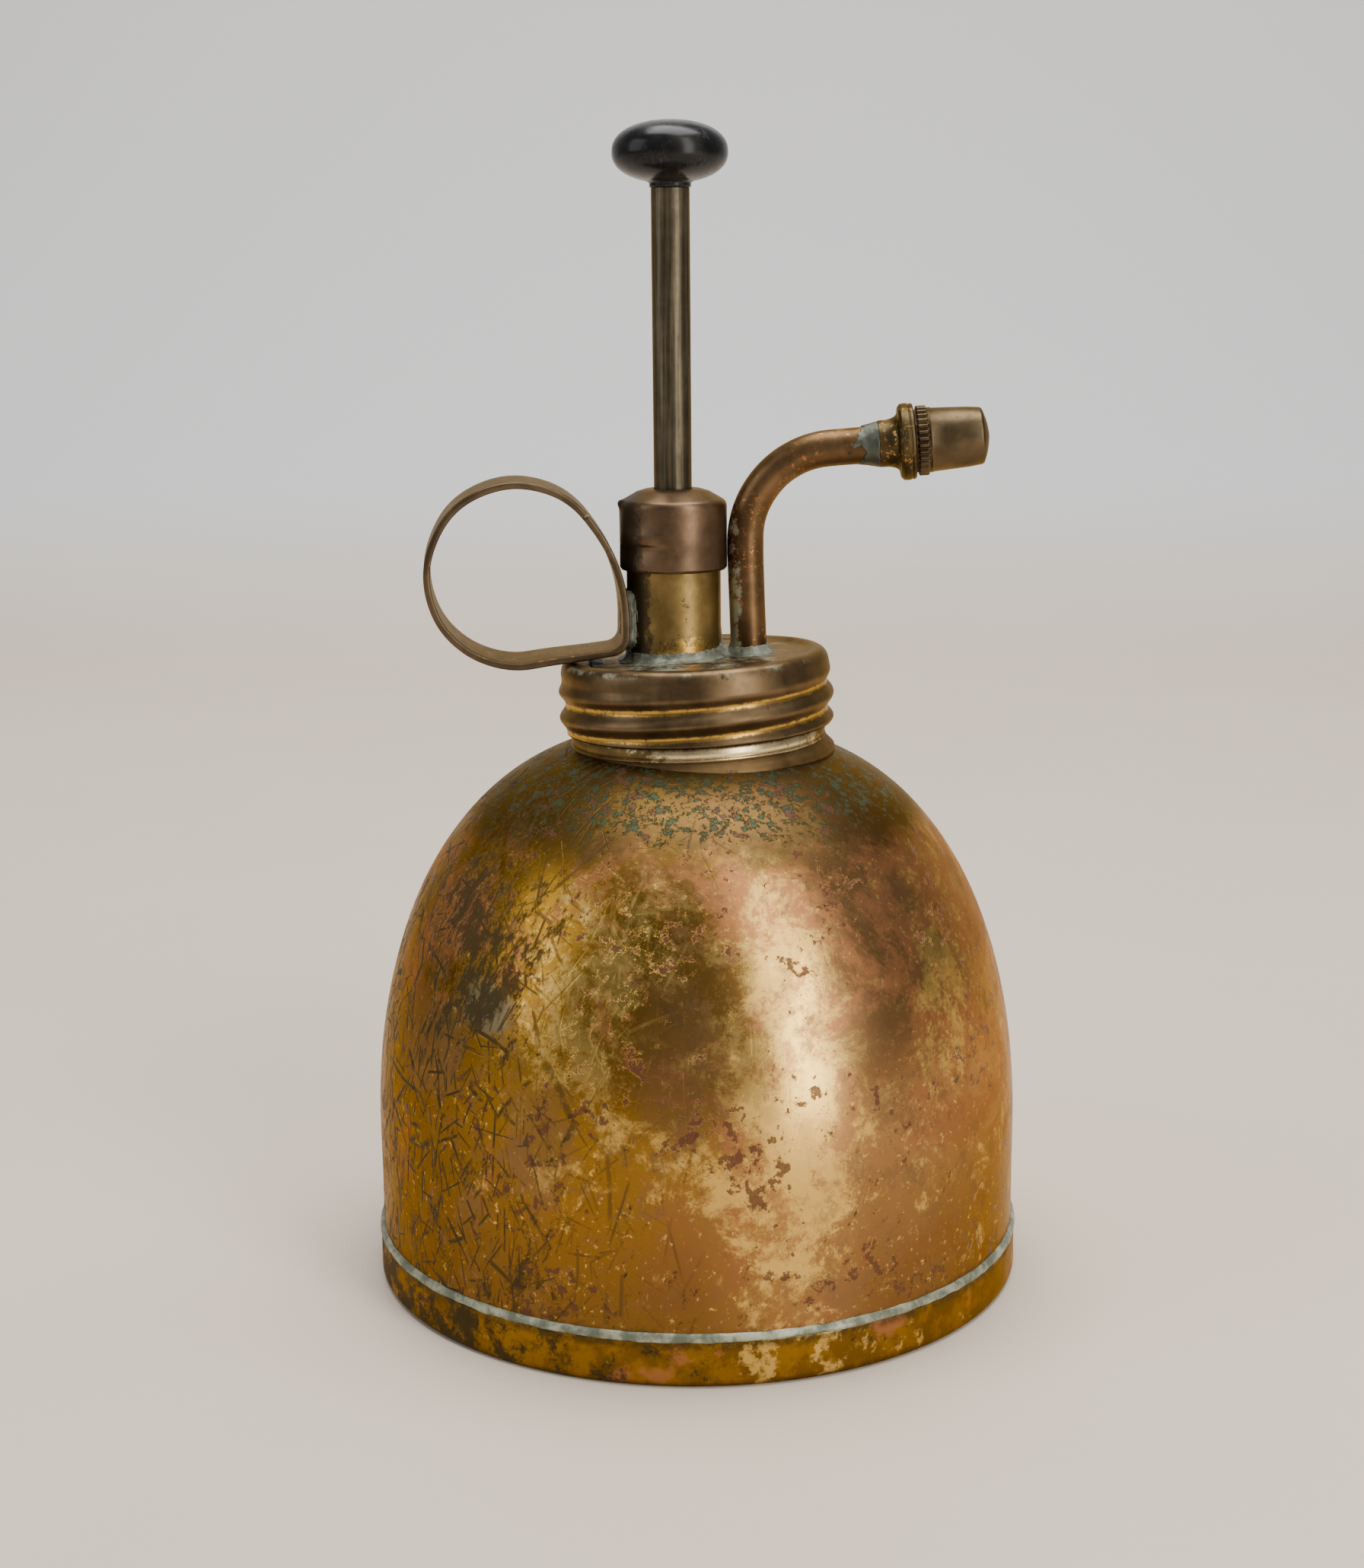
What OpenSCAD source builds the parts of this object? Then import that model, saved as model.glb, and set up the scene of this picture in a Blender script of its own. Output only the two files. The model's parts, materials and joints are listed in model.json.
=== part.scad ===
// Hand mister: a squat domed brass water tank with a screw cap that carries
// a thumb plunger pump, a finger ring and a swan-necked spray tube.
// Frame: +Z up, origin at the centre of the base; the spray leaves towards +X.

/* [Tank] */
// Outer diameter of the base pan
pan_d = 88; // [84:1:92]
// Height of the base pan's rim
pan_h = 6; // [5:0.5:8]
// Height at which the tank's straight side turns into the dome
side_h = 19.8; // [16:0.2:24]
// Height at which the dome would close if it had no neck
dome_h = 74; // [73.5:0.1:74.5]
// Thickness of the tank's sheet brass
tank_wall = 0.7; // [0.6:0.05:0.9]

/* [Neck and screw cap] */
// Lean of the neck and its cap towards -X, in degrees
neck_lean = 2.5; // [0:0.5:3]
// Outer diameter of the neck's collar
collar_d = 34; // [33.8:0.1:34.4]
// Mean outer diameter of the cap's rolled thread
cap_d = 35.9; // [35.7:0.1:36.4]
// Height of the cap's rim above the foot of the neck
cap_h = 12.4; // [12.3:0.1:12.8]
// Lead of the cap's thread for one turn
thread_pitch = 3.6; // [3.2:0.1:4]

/* [Pump] */
// Distance of the pump's axis from the tank's axis
pump_x = -2.5; // [-3:0.1:-2]
// Outer diameter of the pump barrel
barrel_d = 12.5; // [12.3:0.1:12.6]
// Outer diameter of the gland cap
gland_d = 14.2; // [14:0.1:15]
// Diameter of the plunger rod
rod_d = 5; // [4.6:0.1:5.2]
// Diameter of the thumb knob
knob_d = 15; // [13:0.5:18]
// Overall height of the object
total_h = 152.85; // [150:0.05:156]

/* [Finger ring] */
// Width of the ring's brass strip
strip_w = 9.2; // [8:0.1:10]
// Thickness of the ring's brass strip
strip_t = 0.9; // [0.8:0.05:1.2]
// Angle by which the ring is turned about the pump, in degrees
ring_turn = 9; // [0:1:10]

/* [Spray tube and nozzle] */
// Outer diameter of the spray tube
tube_d = 4.8; // [4.6:0.1:5]
// Radius of the tube's bend, at its centre line
bend_r = 12; // [11:0.5:13]
// Upward tilt of the nozzle, in degrees
nozzle_tilt = 4.3; // [0:0.1:8]
// Diameter of the nozzle's flange
flange_d = 10; // [9.6:0.1:11]

/* [Hidden] */

$fn = 64;
fit = 0.05;          // radial play of a running fit
gap = 0.05;          // play between faces that only touch
over = 1;            // how far a cutting solid runs past the face it cuts

// Base pan and tank
pan_r = pan_d / 2;
pan_wall = 0.45;
pan_floor = 0.6;
pan_corner = 1.1;
tank_r = pan_r - pan_wall - gap;
dome_top_power = 2.156;
dome_side_power = 2.659;
dome_steps = 36;
pan_chamfer = 0.3;   // inside the pan's corner; the tank's foot is cut to clear it
pan_bead = 1;        // height of the solder bead above the pan's rim
pan_bead_w = 0.45;
turn_sides = 96;     // sides of the widest turned pieces

// Neck, in its own leaning frame: height 0 is where it stands on the dome
neck_x = 0.65;
neck_z = 72;
neck_r = 16.7;
neck_bore_r = 15.9;
neck_lip_r = 13.8;
neck_lip_t = 0.8;
neck_skirt = 2.5;
collar_top = 2.35;
collar_drop = 1.3;
neck_bead_w = 1.4;   // solder round the foot of the collar
neck_bead_h = 1.3;
neck_bead_top = 0.7;
neck_bead_low = 2.6;

// Screw cap, in the neck's frame
cap_skirt = 2.55;
cap_wall_r = neck_r + 0.25;
cap_ridge = 0.45;
cap_ridge_z = 2.8;
cap_shoulder_z = 9.9;
cap_rim_r = 16.2;     // crest of the rolled rim round the cap's top
cap_dish_r = 15.3;
cap_dish = 0.5;       // how far the top lies below its rim
cap_sheet = 0.7;
cap_roof = cap_h - cap_dish - cap_sheet;
gasket_r = 14.9;
gasket_bore_r = 12.6;
neck_top = cap_shoulder_z - gap;
face_gap = 0.02;     // play between faces that are pressed together
cap_hole_z = 95;     // above the cap, where the holes through its top are cut from

// Pump: the foot valve at the bottom, the gland at the top
barrel_r = barrel_d / 2;
barrel_bore_r = barrel_r - 0.6;
barrel_z = 20.05;
barrel_top = 99;
gland_r = gland_d / 2;
gland_z = 95.5;
gland_shoulder_z = 104.9;
gland_top = 106.1;
gland_flat_r = 3.6;
gland_round = 0.6;
gland_roof_z = 104.1;
gland_chamfer = 0.2;
washer_t = 1;
solder_z = 82.5;     // inside the cap's top, where the solder on it is cut off
skin = 0.01;         // play between solder and what it sits on
barrel_fillet_w = 1.1;
barrel_fillet_top = 85.6;
tube_fillet_w = 1;
tube_fillet_top = 86.2;

foot_z = 6;
foot_top = 24;
foot_socket_z = 20;
foot_r = 7.2;
foot_web = 8;
riser_boss_r = 4;
well_r = 3.6;
well_z = 16.8;
inlet_seat_r = 1.6;
inlet_seat_z = 11;
inlet_chamber_r = 2.95;
inlet_ball_r = 2.38;
outlet_seat_r = 1.5;
outlet_seat_z = 15;
outlet_ball_r = 1.98;
passage_r = 1.2;
passage_z = 13;
strainer_r = 2.95;
strainer_z = 4.2;
strainer_top = 9;
strainer_wall = 0.4;
strainer_slot = [0.5, 0.6, 1];   // width, height above the floor, length
stop_pin_r = 0.5;
stop_pin_z = 17.1;
stop_pin_len = 14.2;

// Plunger
rod_r = rod_d / 2;
shank_r = 1.5;
shank_z = 92;
plate_z = 97.15;
plate_t = 1.2;
plate_r = barrel_bore_r - 0.15;
leather_r = barrel_bore_r - fit;
leather_skirt_z = 90.5;
leather_wall = 0.85;
leather_base = 1;
piston_washer_t = 1;
nut_t = 2.2;
nut_flats = 5.5;
spring_seat_t = 0.8;
spring_seat_r = 4.6;
spring_seat_bore_r = 3.35;
spring_r = 4.2;
spring_wire_r = 0.4;
spring_turns = 17;
spring_steps = 14;   // rings of points in a turn
spring_sides = 6;
spring_seat_z = plate_z - leather_base - piston_washer_t - spring_seat_t - 3 * gap;
knob_z = 144.4;
knob_r = knob_d / 2;
knob_neck_r = 2.7;
knob_neck_h = 0.6;
knob_widest_z = knob_z + 4.4;
knob_stud_r = 1.6;
knob_stud_len = 4.6;

// Finger ring: arcs in the plane of its side, measured from the pump's axis
ring_main_c = [-20.75, 95.45];
ring_main_r = 12.2;
ring_blend_a = 40;
ring_leg_u = -6.3;
ring_slope = 6.9;
ring_corner_r = 2.6;
ring_corner_z = 87.2;
ring_steps = 6;      // degrees between the points of an arc
ring_fill_len = 10;
ring_fill_w = 7;
ring_fill_h = 9;
ring_filed = 0.1;    // play between the ring and the gland cap it is filed to clear

// Spray tube
tube_r = tube_d / 2;
tube_bore_r = tube_r - 0.6;
tube_x = 7;
tube_z = 19.7;
bend_z = 99.25;
bend_a = 90 - nozzle_tilt;
tube_end = 8.8;
tube_sides = 24;
bend_steps = 12;

// Nozzle, measured along its own axis from the end of the tube's bend
ferrule_s = 6.3;
ferrule_r = 3.1;
ferrule_neck = 0.9;
flange_s = 8.93;
flange_t = 2.1;
flange_r = flange_d / 2;
flare_w = 2.34;
flare_end = 75;      // degrees of arc in the flare
flange_edge = 0.3;
nozzle_fillet = 2.2;
nozzle_fillet_w = 0.15;
spigot_r = 3;
spigot_bore_r = 1.3;
spigot_s = 16;
fibre_s = flange_s + flange_t + face_gap;
fibre_t = 0.3;
fibre_r = 4.1;
knurl_s = fibre_s + fibre_t + face_gap;
knurl_t = 1.4;
knurl_r = 4.55;
knurl_teeth = 32;
knurl_notch = 0.4;
knurl_fade = 0.2;
tip_r = 4.2;
tip_end_r = 3.75;
tip_s = 19.76;
tip_dome = 1;
orifice_r = 0.4;
swirl_r = 2.6;
swirl_s = 16.6;
swirl_t = 1.8;
swirl_slot = 0.7;
swirl_lean = 35;
swirl_room = 0.4;

// Radius of the dome's outside, less an inset, at height z
function dome_r(z, inset = 0) =
    let (rise = max(0, z - side_h) / (dome_h - inset - side_h))
    (tank_r - inset) * pow(max(0, 1 - pow(rise, dome_top_power)), 1 / dome_side_power);

// The dome's outline from the straight side up to the crown
function dome_points(inset) = [
    for (i = [0 : dome_steps])
        let (z = side_h + (dome_h - inset - side_h) * sin(90 * i / dome_steps))
        [dome_r(z, inset), z]
];

// Points of an arc about c, from angle a0 to a1
function arc(c, r, a0, a1) =
    let (n = max(2, ceil(abs(a1 - a0) / ring_steps)))
    [for (i = [0 : n]) let (a = a0 + (a1 - a0) * i / n) c + r * [cos(a), sin(a)]];

function reversed(list) = [for (i = [len(list) - 1 : -1 : 0]) list[i]];

// Outline of the finger ring, moved in by inset all round
function ring_outline(inset) =
    let (blend_dir = [cos(ring_blend_a), sin(ring_blend_a)],
         blend_r = (ring_leg_u - ring_main_c[0] - ring_main_r * blend_dir[0])
                   / (1 - blend_dir[0]),
         blend_c = ring_main_c + (ring_main_r - blend_r) * blend_dir,
         corner_c = [ring_leg_u - ring_corner_r, ring_corner_z])
    concat(arc(ring_main_c, ring_main_r - inset, 270 + ring_slope, ring_blend_a),
           arc(blend_c, blend_r - inset, ring_blend_a, 0),
           arc(corner_c, ring_corner_r - inset, 0, ring_slope - 90));

// The cap's rolled thread, drawn as rings of the same pitch and depth
function cap_side(z) =
    cap_d / 2 + cap_ridge * cos(360 * (z - cap_ridge_z) / thread_pitch);

module pipe(r, bore, z0, z1) {
    difference() {
        translate([0, 0, z0])
            cylinder(r = r, h = z1 - z0);
        translate([0, 0, z0 - over])
            cylinder(r = bore, h = z1 - z0 + 2 * over);
    }
}

module rod_piece(r, z0, z1) {
    translate([0, 0, z0])
        cylinder(r = r, h = z1 - z0);
}

module at_pump() {
    translate([pump_x, 0, 0])
        children();
}

module at_riser() {
    translate([tube_x, 0, 0])
        children();
}

module leaning() {
    translate([neck_x, 0, neck_z])
        rotate([0, -neck_lean, 0])
            children();
}

module at_ring() {
    at_pump()
        rotate([0, 0, ring_turn])
            children();
}

module along_nozzle() {
    translate([tube_x + bend_r * (1 - cos(bend_a)), 0, bend_z + bend_r * sin(bend_a)])
        rotate([0, bend_a, 0])
            children();
}

// The tank's outside as a full solid
module dome_solid() {
    foot = pan_floor + gap;
    rotate_extrude($fn = turn_sides)
        polygon(concat([[0, foot], [tank_r - pan_chamfer, foot], [tank_r, foot + pan_chamfer]],
                       dome_points(0)));
}

module tank_shell() {
    color("peru")
        difference() {
            dome_solid();
            rotate_extrude($fn = turn_sides)
                polygon(concat([[0, -over], [tank_r - tank_wall, -over]],
                               dome_points(tank_wall)));
            leaning()
                rod_piece(neck_r + gap, -cap_h, cap_h);
        }
}

module base_pan() {
    color("darkgoldenrod")
        rotate_extrude($fn = turn_sides)
            polygon(concat([[0, 0]],
                           arc([pan_r - pan_corner, pan_corner], pan_corner, -90, 0),
                           [[pan_r, pan_h], [pan_r - pan_wall, pan_h],
                            [pan_r - pan_wall, pan_floor + pan_chamfer],
                            [pan_r - pan_wall - pan_chamfer, pan_floor],
                            [0, pan_floor]]));
}

module base_solder() {
    color("darkgray")
        rotate_extrude($fn = turn_sides)
            polygon(concat([[tank_r + skin, pan_h]],
                           [for (a = [0 : 15 : 90])
                               [tank_r + skin + pan_bead_w * cos(a),
                                pan_h + pan_bead * sin(a)]]));
}

module neck_ring() {
    color("gold") {
        leaning() {
            pipe(neck_r, neck_bore_r, -neck_skirt, neck_top - neck_lip_t);
            pipe(neck_r, neck_lip_r, neck_top - neck_lip_t, neck_top);
        }
        difference() {
            leaning()
                pipe(collar_d / 2, neck_r, -collar_drop, collar_top);
            dome_solid();
        }
    }
}

module neck_solder() {
    color("darkgray")
        difference() {
            leaning()
                rotate_extrude()
                    polygon([[collar_d / 2, neck_bead_top],
                             [collar_d / 2 + 0.2 * neck_bead_w, neck_bead_top - 0.5 * neck_bead_h],
                             [collar_d / 2 + neck_bead_w, neck_bead_top - neck_bead_h],
                             [collar_d / 2 + neck_bead_w, -neck_bead_low],
                             [collar_d / 2, -neck_bead_low]]);
            dome_solid();
        }
}

module cap_gasket() {
    color("saddlebrown")
        leaning()
            pipe(gasket_r, gasket_bore_r, neck_top + face_gap, cap_roof - face_gap);
}

// Outside of the screw cap: the ribbed side, a rolled rim, a dished top
module cap_outside() {
    side_steps = 20;
    rotate_extrude()
        polygon(concat(
            [[0, cap_skirt]],
            [for (i = [0 : side_steps])
                let (z = cap_skirt + (cap_shoulder_z - cap_skirt) * i / side_steps)
                [cap_side(z), z]],
            [for (a = [15 : 15 : 90])
                [cap_rim_r + (cap_side(cap_shoulder_z) - cap_rim_r) * cos(a),
                 cap_shoulder_z + (cap_h - cap_shoulder_z) * sin(a)]],
            [[cap_dish_r, cap_h - cap_dish], [0, cap_h - cap_dish]]));
}

// Room inside the screw cap
module cap_inside() {
    rotate_extrude()
        polygon(concat(
            [[0, 0], [cap_wall_r, 0]],
            [for (a = [0 : 15 : 90])
                [cap_rim_r + (cap_wall_r - cap_rim_r) * cos(a),
                 cap_shoulder_z + (cap_roof - cap_shoulder_z) * sin(a)]],
            [[0, cap_roof]]));
}

module screw_cap() {
    color("sienna")
        difference() {
            leaning()
                difference() {
                    cap_outside();
                    cap_inside();
                }
            at_pump()
                rod_piece(barrel_r + fit, neck_z, cap_hole_z);
            at_riser()
                rod_piece(tube_r + fit, neck_z, cap_hole_z);
        }
}

module pump_barrel() {
    color("goldenrod")
        at_pump()
            pipe(barrel_r, barrel_bore_r, barrel_z, barrel_top);
}

// A cone of solder round an upright pipe that stands on the cap
module fillet(pipe_r, wide, z0, z1) {
    difference() {
        translate([0, 0, z0])
            cylinder(r1 = pipe_r + wide, r2 = pipe_r + 0.2 * wide, h = z1 - z0);
        rod_piece(pipe_r + skin, z0 - over, z1 + over);
    }
}

module barrel_solder() {
    color("darkgray")
        difference() {
            at_pump()
                fillet(barrel_r, barrel_fillet_w, solder_z, barrel_fillet_top);
            leaning()
                cap_outside();
            at_ring() {
                ring_solid(skin);
                ring_fill(skin);
            }
        }
}

module gland_cap() {
    shoulder_c = [gland_r - gland_round, gland_shoulder_z - gland_round];
    color("saddlebrown")
        at_pump()
            rotate_extrude()
                polygon(concat(
                    [[barrel_r + fit, gland_z], [gland_r - gland_chamfer, gland_z],
                     [gland_r, gland_z + gland_chamfer]],
                    arc(shoulder_c, gland_round, 0, 60),
                    [[gland_flat_r, gland_top], [rod_r + 1.6 * fit, gland_top],
                     [rod_r + 1.6 * fit, gland_roof_z], [barrel_r + fit, gland_roof_z]]));
}

module gland_packing() {
    color("dimgray")
        at_pump()
            pipe(barrel_r - 2 * fit, rod_r + 0.8 * fit, barrel_top + washer_t + 2 * gap,
                 gland_roof_z - gap);
}

module gland_washer() {
    color("goldenrod")
        at_pump()
            pipe(barrel_r, rod_r + 2 * fit, barrel_top + gap, barrel_top + washer_t + gap);
}

// The ring's strip bent to its outline, thickened by grow all round
module ring_solid(grow = 0) {
    rotate([90, 0, 0])
        linear_extrude(height = strip_w + 2 * grow, center = true)
            difference() {
                polygon(ring_outline(-grow));
                polygon(ring_outline(strip_t + grow));
            }
}

module finger_ring() {
    color("chocolate")
        difference() {
            at_ring()
                ring_solid();
            at_pump()
                rod_piece(gland_r + ring_filed, gland_z - ring_filed, gland_top);
        }
}

// The block in which solder fills the corner between ring, barrel and cap
module ring_fill(grow = 0) {
    translate([-ring_fill_len - barrel_r, -ring_fill_w / 2 - grow, solder_z - grow])
        cube([ring_fill_len, ring_fill_w + 2 * grow, ring_fill_h + grow]);
}

// Solder that fills the corner between the ring, the barrel and the cap
module ring_solder() {
    color("darkgray")
        difference() {
            at_ring()
                ring_fill();
            at_ring() {
                ring_hole();
                ring_solid(skin);
            }
            leaning()
                cap_outside();
            at_pump()
                rod_piece(barrel_r + skin, neck_z, gland_z + over);
        }
}

// The space inside the finger ring, cut right through
module ring_hole() {
    rotate([90, 0, 0])
        linear_extrude(height = 3 * strip_w, center = true)
            polygon(ring_outline(strip_t));
}

// Place and heading (degrees from upright) of the tube's ring number i
function tube_station(i) =
    let (a = bend_a * max(0, min(i - 1, bend_steps)) / bend_steps,
         bend_point = [tube_x + bend_r * (1 - cos(a)), 0, bend_z + bend_r * sin(a)])
    i == 0 ? [[tube_x, 0, tube_z], 0]
    : i <= bend_steps + 1 ? [bend_point, a]
    : [bend_point + tube_end * [sin(a), 0, cos(a)], a];

function tube_ring(i, r) =
    let (place = tube_station(i)[0], a = tube_station(i)[1])
    [for (j = [0 : tube_sides - 1])
        let (t = 360 * j / tube_sides)
        place + r * [cos(t) * cos(a), sin(t), -cos(t) * sin(a)]];

// One tube from the foot valve up through the cap and over to the nozzle
module spray_tube() {
    rings = bend_steps + 3;
    inner = rings * tube_sides;
    points = concat([for (i = [0 : rings - 1]) each tube_ring(i, tube_r)],
                    [for (i = [0 : rings - 1]) each tube_ring(i, tube_bore_r)]);
    walls = [for (i = [0 : rings - 2], j = [0 : tube_sides - 1])
        let (a = i * tube_sides + j, b = i * tube_sides + (j + 1) % tube_sides)
        each [[a, a + tube_sides, b + tube_sides, b],
              [inner + b, inner + b + tube_sides, inner + a + tube_sides, inner + a]]];
    ends = [for (j = [0 : tube_sides - 1])
        let (a = j, b = (j + 1) % tube_sides, top = inner - tube_sides)
        each [[a, b, inner + b, inner + a],
              [top + b, top + a, inner + top + a, inner + top + b]]];
    color("peru")
        polyhedron(points, concat(walls, ends));
}

module tube_solder() {
    color("darkgray")
        difference() {
            at_riser()
                fillet(tube_r, tube_fillet_w, solder_z, tube_fillet_top);
            leaning()
                cap_outside();
            at_pump()
                rod_piece(barrel_r + barrel_fillet_w + gap, neck_z, gland_z);
        }
}

module nozzle_body() {
    color("olive")
        along_nozzle()
            difference() {
                rotate_extrude()
                    polygon(concat(
                        [[0, ferrule_s], [ferrule_r, ferrule_s],
                         [ferrule_r, ferrule_s + ferrule_neck]],
                        [for (a = [15 : 15 : flare_end])
                            [ferrule_r + flare_w * (1 - cos(a)),
                             ferrule_s + ferrule_neck
                             + (flange_s - ferrule_s - ferrule_neck) * sin(a)
                               / sin(flare_end)]],
                        [[flange_r - flange_edge, flange_s],
                         [flange_r, flange_s + flange_edge],
                         [flange_r, flange_s + flange_t - flange_edge],
                         [flange_r - flange_edge, flange_s + flange_t],
                         [spigot_r, flange_s + flange_t], [spigot_r, spigot_s],
                         [0, spigot_s]]));
                rod_piece(tube_r + face_gap, ferrule_s - over, tube_end + gap);
                rod_piece(spigot_bore_r, 0, spigot_s + over);
            }
}

module nozzle_solder() {
    color("darkgray")
        along_nozzle()
            difference() {
                translate([0, 0, ferrule_s - nozzle_fillet])
                    cylinder(r1 = tube_r + nozzle_fillet_w, r2 = ferrule_r,
                             h = nozzle_fillet - skin);
                rod_piece(tube_r + skin, 0, ferrule_s + over);
            }
}

module nozzle_washer() {
    color("saddlebrown")
        along_nozzle()
            pipe(fibre_r, spigot_r + fit, fibre_s, fibre_s + fibre_t);
}

// Notches that make the knurl round the nozzle cap's rim
module knurl_notches() {
    for (i = [0 : knurl_teeth - 1])
        rotate([0, 0, 360 * i / knurl_teeth])
            translate([knurl_r, 0, knurl_s + knurl_t / 2])
                rotate([0, 0, 45])
                    cube([knurl_notch, knurl_notch, knurl_t + 2 * skin], center = true);
}

module nozzle_cap() {
    color("olivedrab")
        along_nozzle()
            difference() {
                rotate_extrude()
                    polygon(concat(
                        [[0, knurl_s], [knurl_r, knurl_s],
                         [knurl_r, knurl_s + knurl_t],
                         [tip_r, knurl_s + knurl_t + knurl_fade]],
                        [for (a = [0 : 15 : 90])
                            [tip_end_r * cos(a), tip_s + tip_dome * sin(a)]]));
                knurl_notches();
                rod_piece(spigot_r + fit, knurl_s - over, spigot_s + gap);
                rod_piece(swirl_r + face_gap, spigot_s, swirl_s + swirl_t + swirl_room);
                rod_piece(orifice_r, spigot_s, tip_s + tip_dome + over);
            }
}

// Slug with two cut grooves that spins the water ahead of the orifice
module swirl_core() {
    color("goldenrod")
        along_nozzle()
            difference() {
                rod_piece(swirl_r, swirl_s, swirl_s + swirl_t);
                for (side = [0, 180])
                    rotate([0, 0, side])
                        translate([swirl_r, 0, swirl_s + swirl_t / 2])
                            rotate([swirl_lean, 0, 0])
                                cube([2 * swirl_slot, swirl_slot, 3 * swirl_t],
                                     center = true);
            }
}

// Block at the foot of the pump that holds both ball valves
module foot_valve_body() {
    foot_h = foot_top - foot_z;
    color("darkgoldenrod")
        difference() {
            union() {
                at_pump()
                    rod_piece(foot_r, foot_z, foot_top);
                at_riser()
                    rod_piece(riser_boss_r, foot_z, foot_top);
                translate([pump_x, -foot_web / 2, foot_z])
                    cube([tube_x - pump_x, foot_web, foot_h]);
            }
            at_pump() {
                rod_piece(barrel_r + fit, foot_socket_z, foot_top + over);
                rod_piece(well_r, well_z - skin, foot_top);
                rod_piece(inlet_chamber_r, inlet_seat_z, well_z);
                rod_piece(inlet_seat_r, foot_z, foot_top);
                rod_piece(strainer_r + fit, foot_z - over, strainer_top);
                translate([0, 0, stop_pin_z])
                    rotate([90, 0, 0])
                        cylinder(r = stop_pin_r + face_gap, h = 3 * foot_r, center = true);
            }
            at_riser() {
                rod_piece(outlet_seat_r, passage_z - passage_r, foot_top);
                rod_piece(tube_r + fit, outlet_seat_z, foot_top + over);
            }
            translate([pump_x, 0, passage_z])
                rotate([0, 90, 0])
                    cylinder(r = passage_r, h = tube_x - pump_x);
        }
}

module stop_pin() {
    color("gold")
        at_pump()
            translate([0, 0, stop_pin_z])
                rotate([90, 0, 0])
                    cylinder(r = stop_pin_r, h = stop_pin_len, center = true);
}

// Thimble with slots all round that keeps grit out of the inlet
module suction_strainer() {
    color("goldenrod")
        at_pump()
            difference() {
                rod_piece(strainer_r, strainer_z, strainer_top - gap);
                rod_piece(strainer_r - strainer_wall, strainer_z + strainer_wall,
                          strainer_top + over);
                for (a = [0 : 60 : 300])
                    rotate([0, 0, a])
                        translate([0, -strainer_slot[0] / 2,
                                   strainer_z + strainer_slot[1]])
                            cube([2 * strainer_r, strainer_slot[0], strainer_slot[2]]);
            }
}

// A ball that rests on the edge of a round seat
module seated_ball(r, seat_r, seat_z) {
    translate([0, 0, seat_z + sqrt(r * r - seat_r * seat_r) + fit])
        sphere(r = r);
}

module inlet_ball() {
    color("silver")
        at_pump()
            seated_ball(inlet_ball_r, inlet_seat_r, inlet_seat_z);
}

module outlet_ball() {
    color("silver")
        at_riser()
            seated_ball(outlet_ball_r, outlet_seat_r, outlet_seat_z);
}

// Height of the spring's wire after t turns; the end turns lie closed
function spring_z(t) =
    let (z0 = foot_socket_z + spring_wire_r + gap,
         z1 = spring_seat_z - spring_wire_r - gap,
         closed = 2.2 * spring_wire_r,
         lead = (z1 - z0 - 2 * closed) / (spring_turns - 2))
    t < 1 ? z0 + closed * t
    : t > spring_turns - 1 ? z1 - closed * (spring_turns - t)
    : z0 + closed + lead * (t - 1);

// Coil of round wire, swept ring by ring
module return_spring() {
    rings = spring_turns * spring_steps;
    points = [for (i = [0 : rings], j = [0 : spring_sides - 1])
        let (turn = 360 * i / spring_steps,
             side = 360 * j / spring_sides,
             r = spring_r + spring_wire_r * cos(side))
        [r * cos(turn), r * sin(turn),
         spring_z(i / spring_steps) + spring_wire_r * sin(side)]];
    sides = [for (i = [0 : rings - 1], j = [0 : spring_sides - 1])
        let (a = i * spring_sides + j,
             b = i * spring_sides + (j + 1) % spring_sides)
        [a, a + spring_sides, b + spring_sides, b]];
    start = [for (j = [0 : spring_sides - 1]) j];
    end = [for (j = [spring_sides - 1 : -1 : 0]) rings * spring_sides + j];
    color("darkgoldenrod")
        at_pump()
            polyhedron(points, concat(sides, [start], [end]));
}

module spring_washer() {
    color("gold")
        at_pump()
            pipe(spring_seat_r, spring_seat_bore_r, spring_seat_z,
                 spring_seat_z + spring_seat_t);
}

// Rod turned down at the foot for the piston and at the top for the knob
module plunger_rod() {
    color("dimgray")
        at_pump() {
            rod_piece(shank_r, shank_z, plate_z + plate_t);
            rod_piece(rod_r, plate_z + plate_t, knob_z);
            rod_piece(knob_stud_r, knob_z, knob_z + knob_stud_len);
        }
}

module knob() {
    upper_h = total_h - knob_widest_z;
    lower_h = knob_widest_z - knob_z - knob_neck_h;
    color("black")
        at_pump()
            difference() {
                rotate_extrude()
                    polygon(concat(
                        [[0, knob_z + skin], [knob_neck_r, knob_z + skin],
                         [knob_neck_r, knob_z + 1.5 * knob_neck_h]],
                        [for (a = [-70 : 7.5 : 87])
                            [knob_r * cos(a),
                             knob_widest_z + (a < 0 ? lower_h : upper_h) * sin(a)]],
                        [[0, total_h]]));
                rod_piece(knob_stud_r + skin, knob_z - over,
                          knob_z + knob_stud_len + gap);
            }
}

module piston_plate() {
    color("gold")
        at_pump()
            pipe(plate_r, shank_r + face_gap, plate_z, plate_z + plate_t - skin);
}

// Leather cup whose skirt points down and seals against the barrel
module cup_leather() {
    color("saddlebrown")
        at_pump()
            difference() {
                rod_piece(leather_r, leather_skirt_z, plate_z - gap);
                rod_piece(leather_r - leather_wall, leather_skirt_z - over,
                          plate_z - gap - leather_base);
                rod_piece(shank_r + face_gap, leather_skirt_z, plate_z + over);
            }
}

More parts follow.
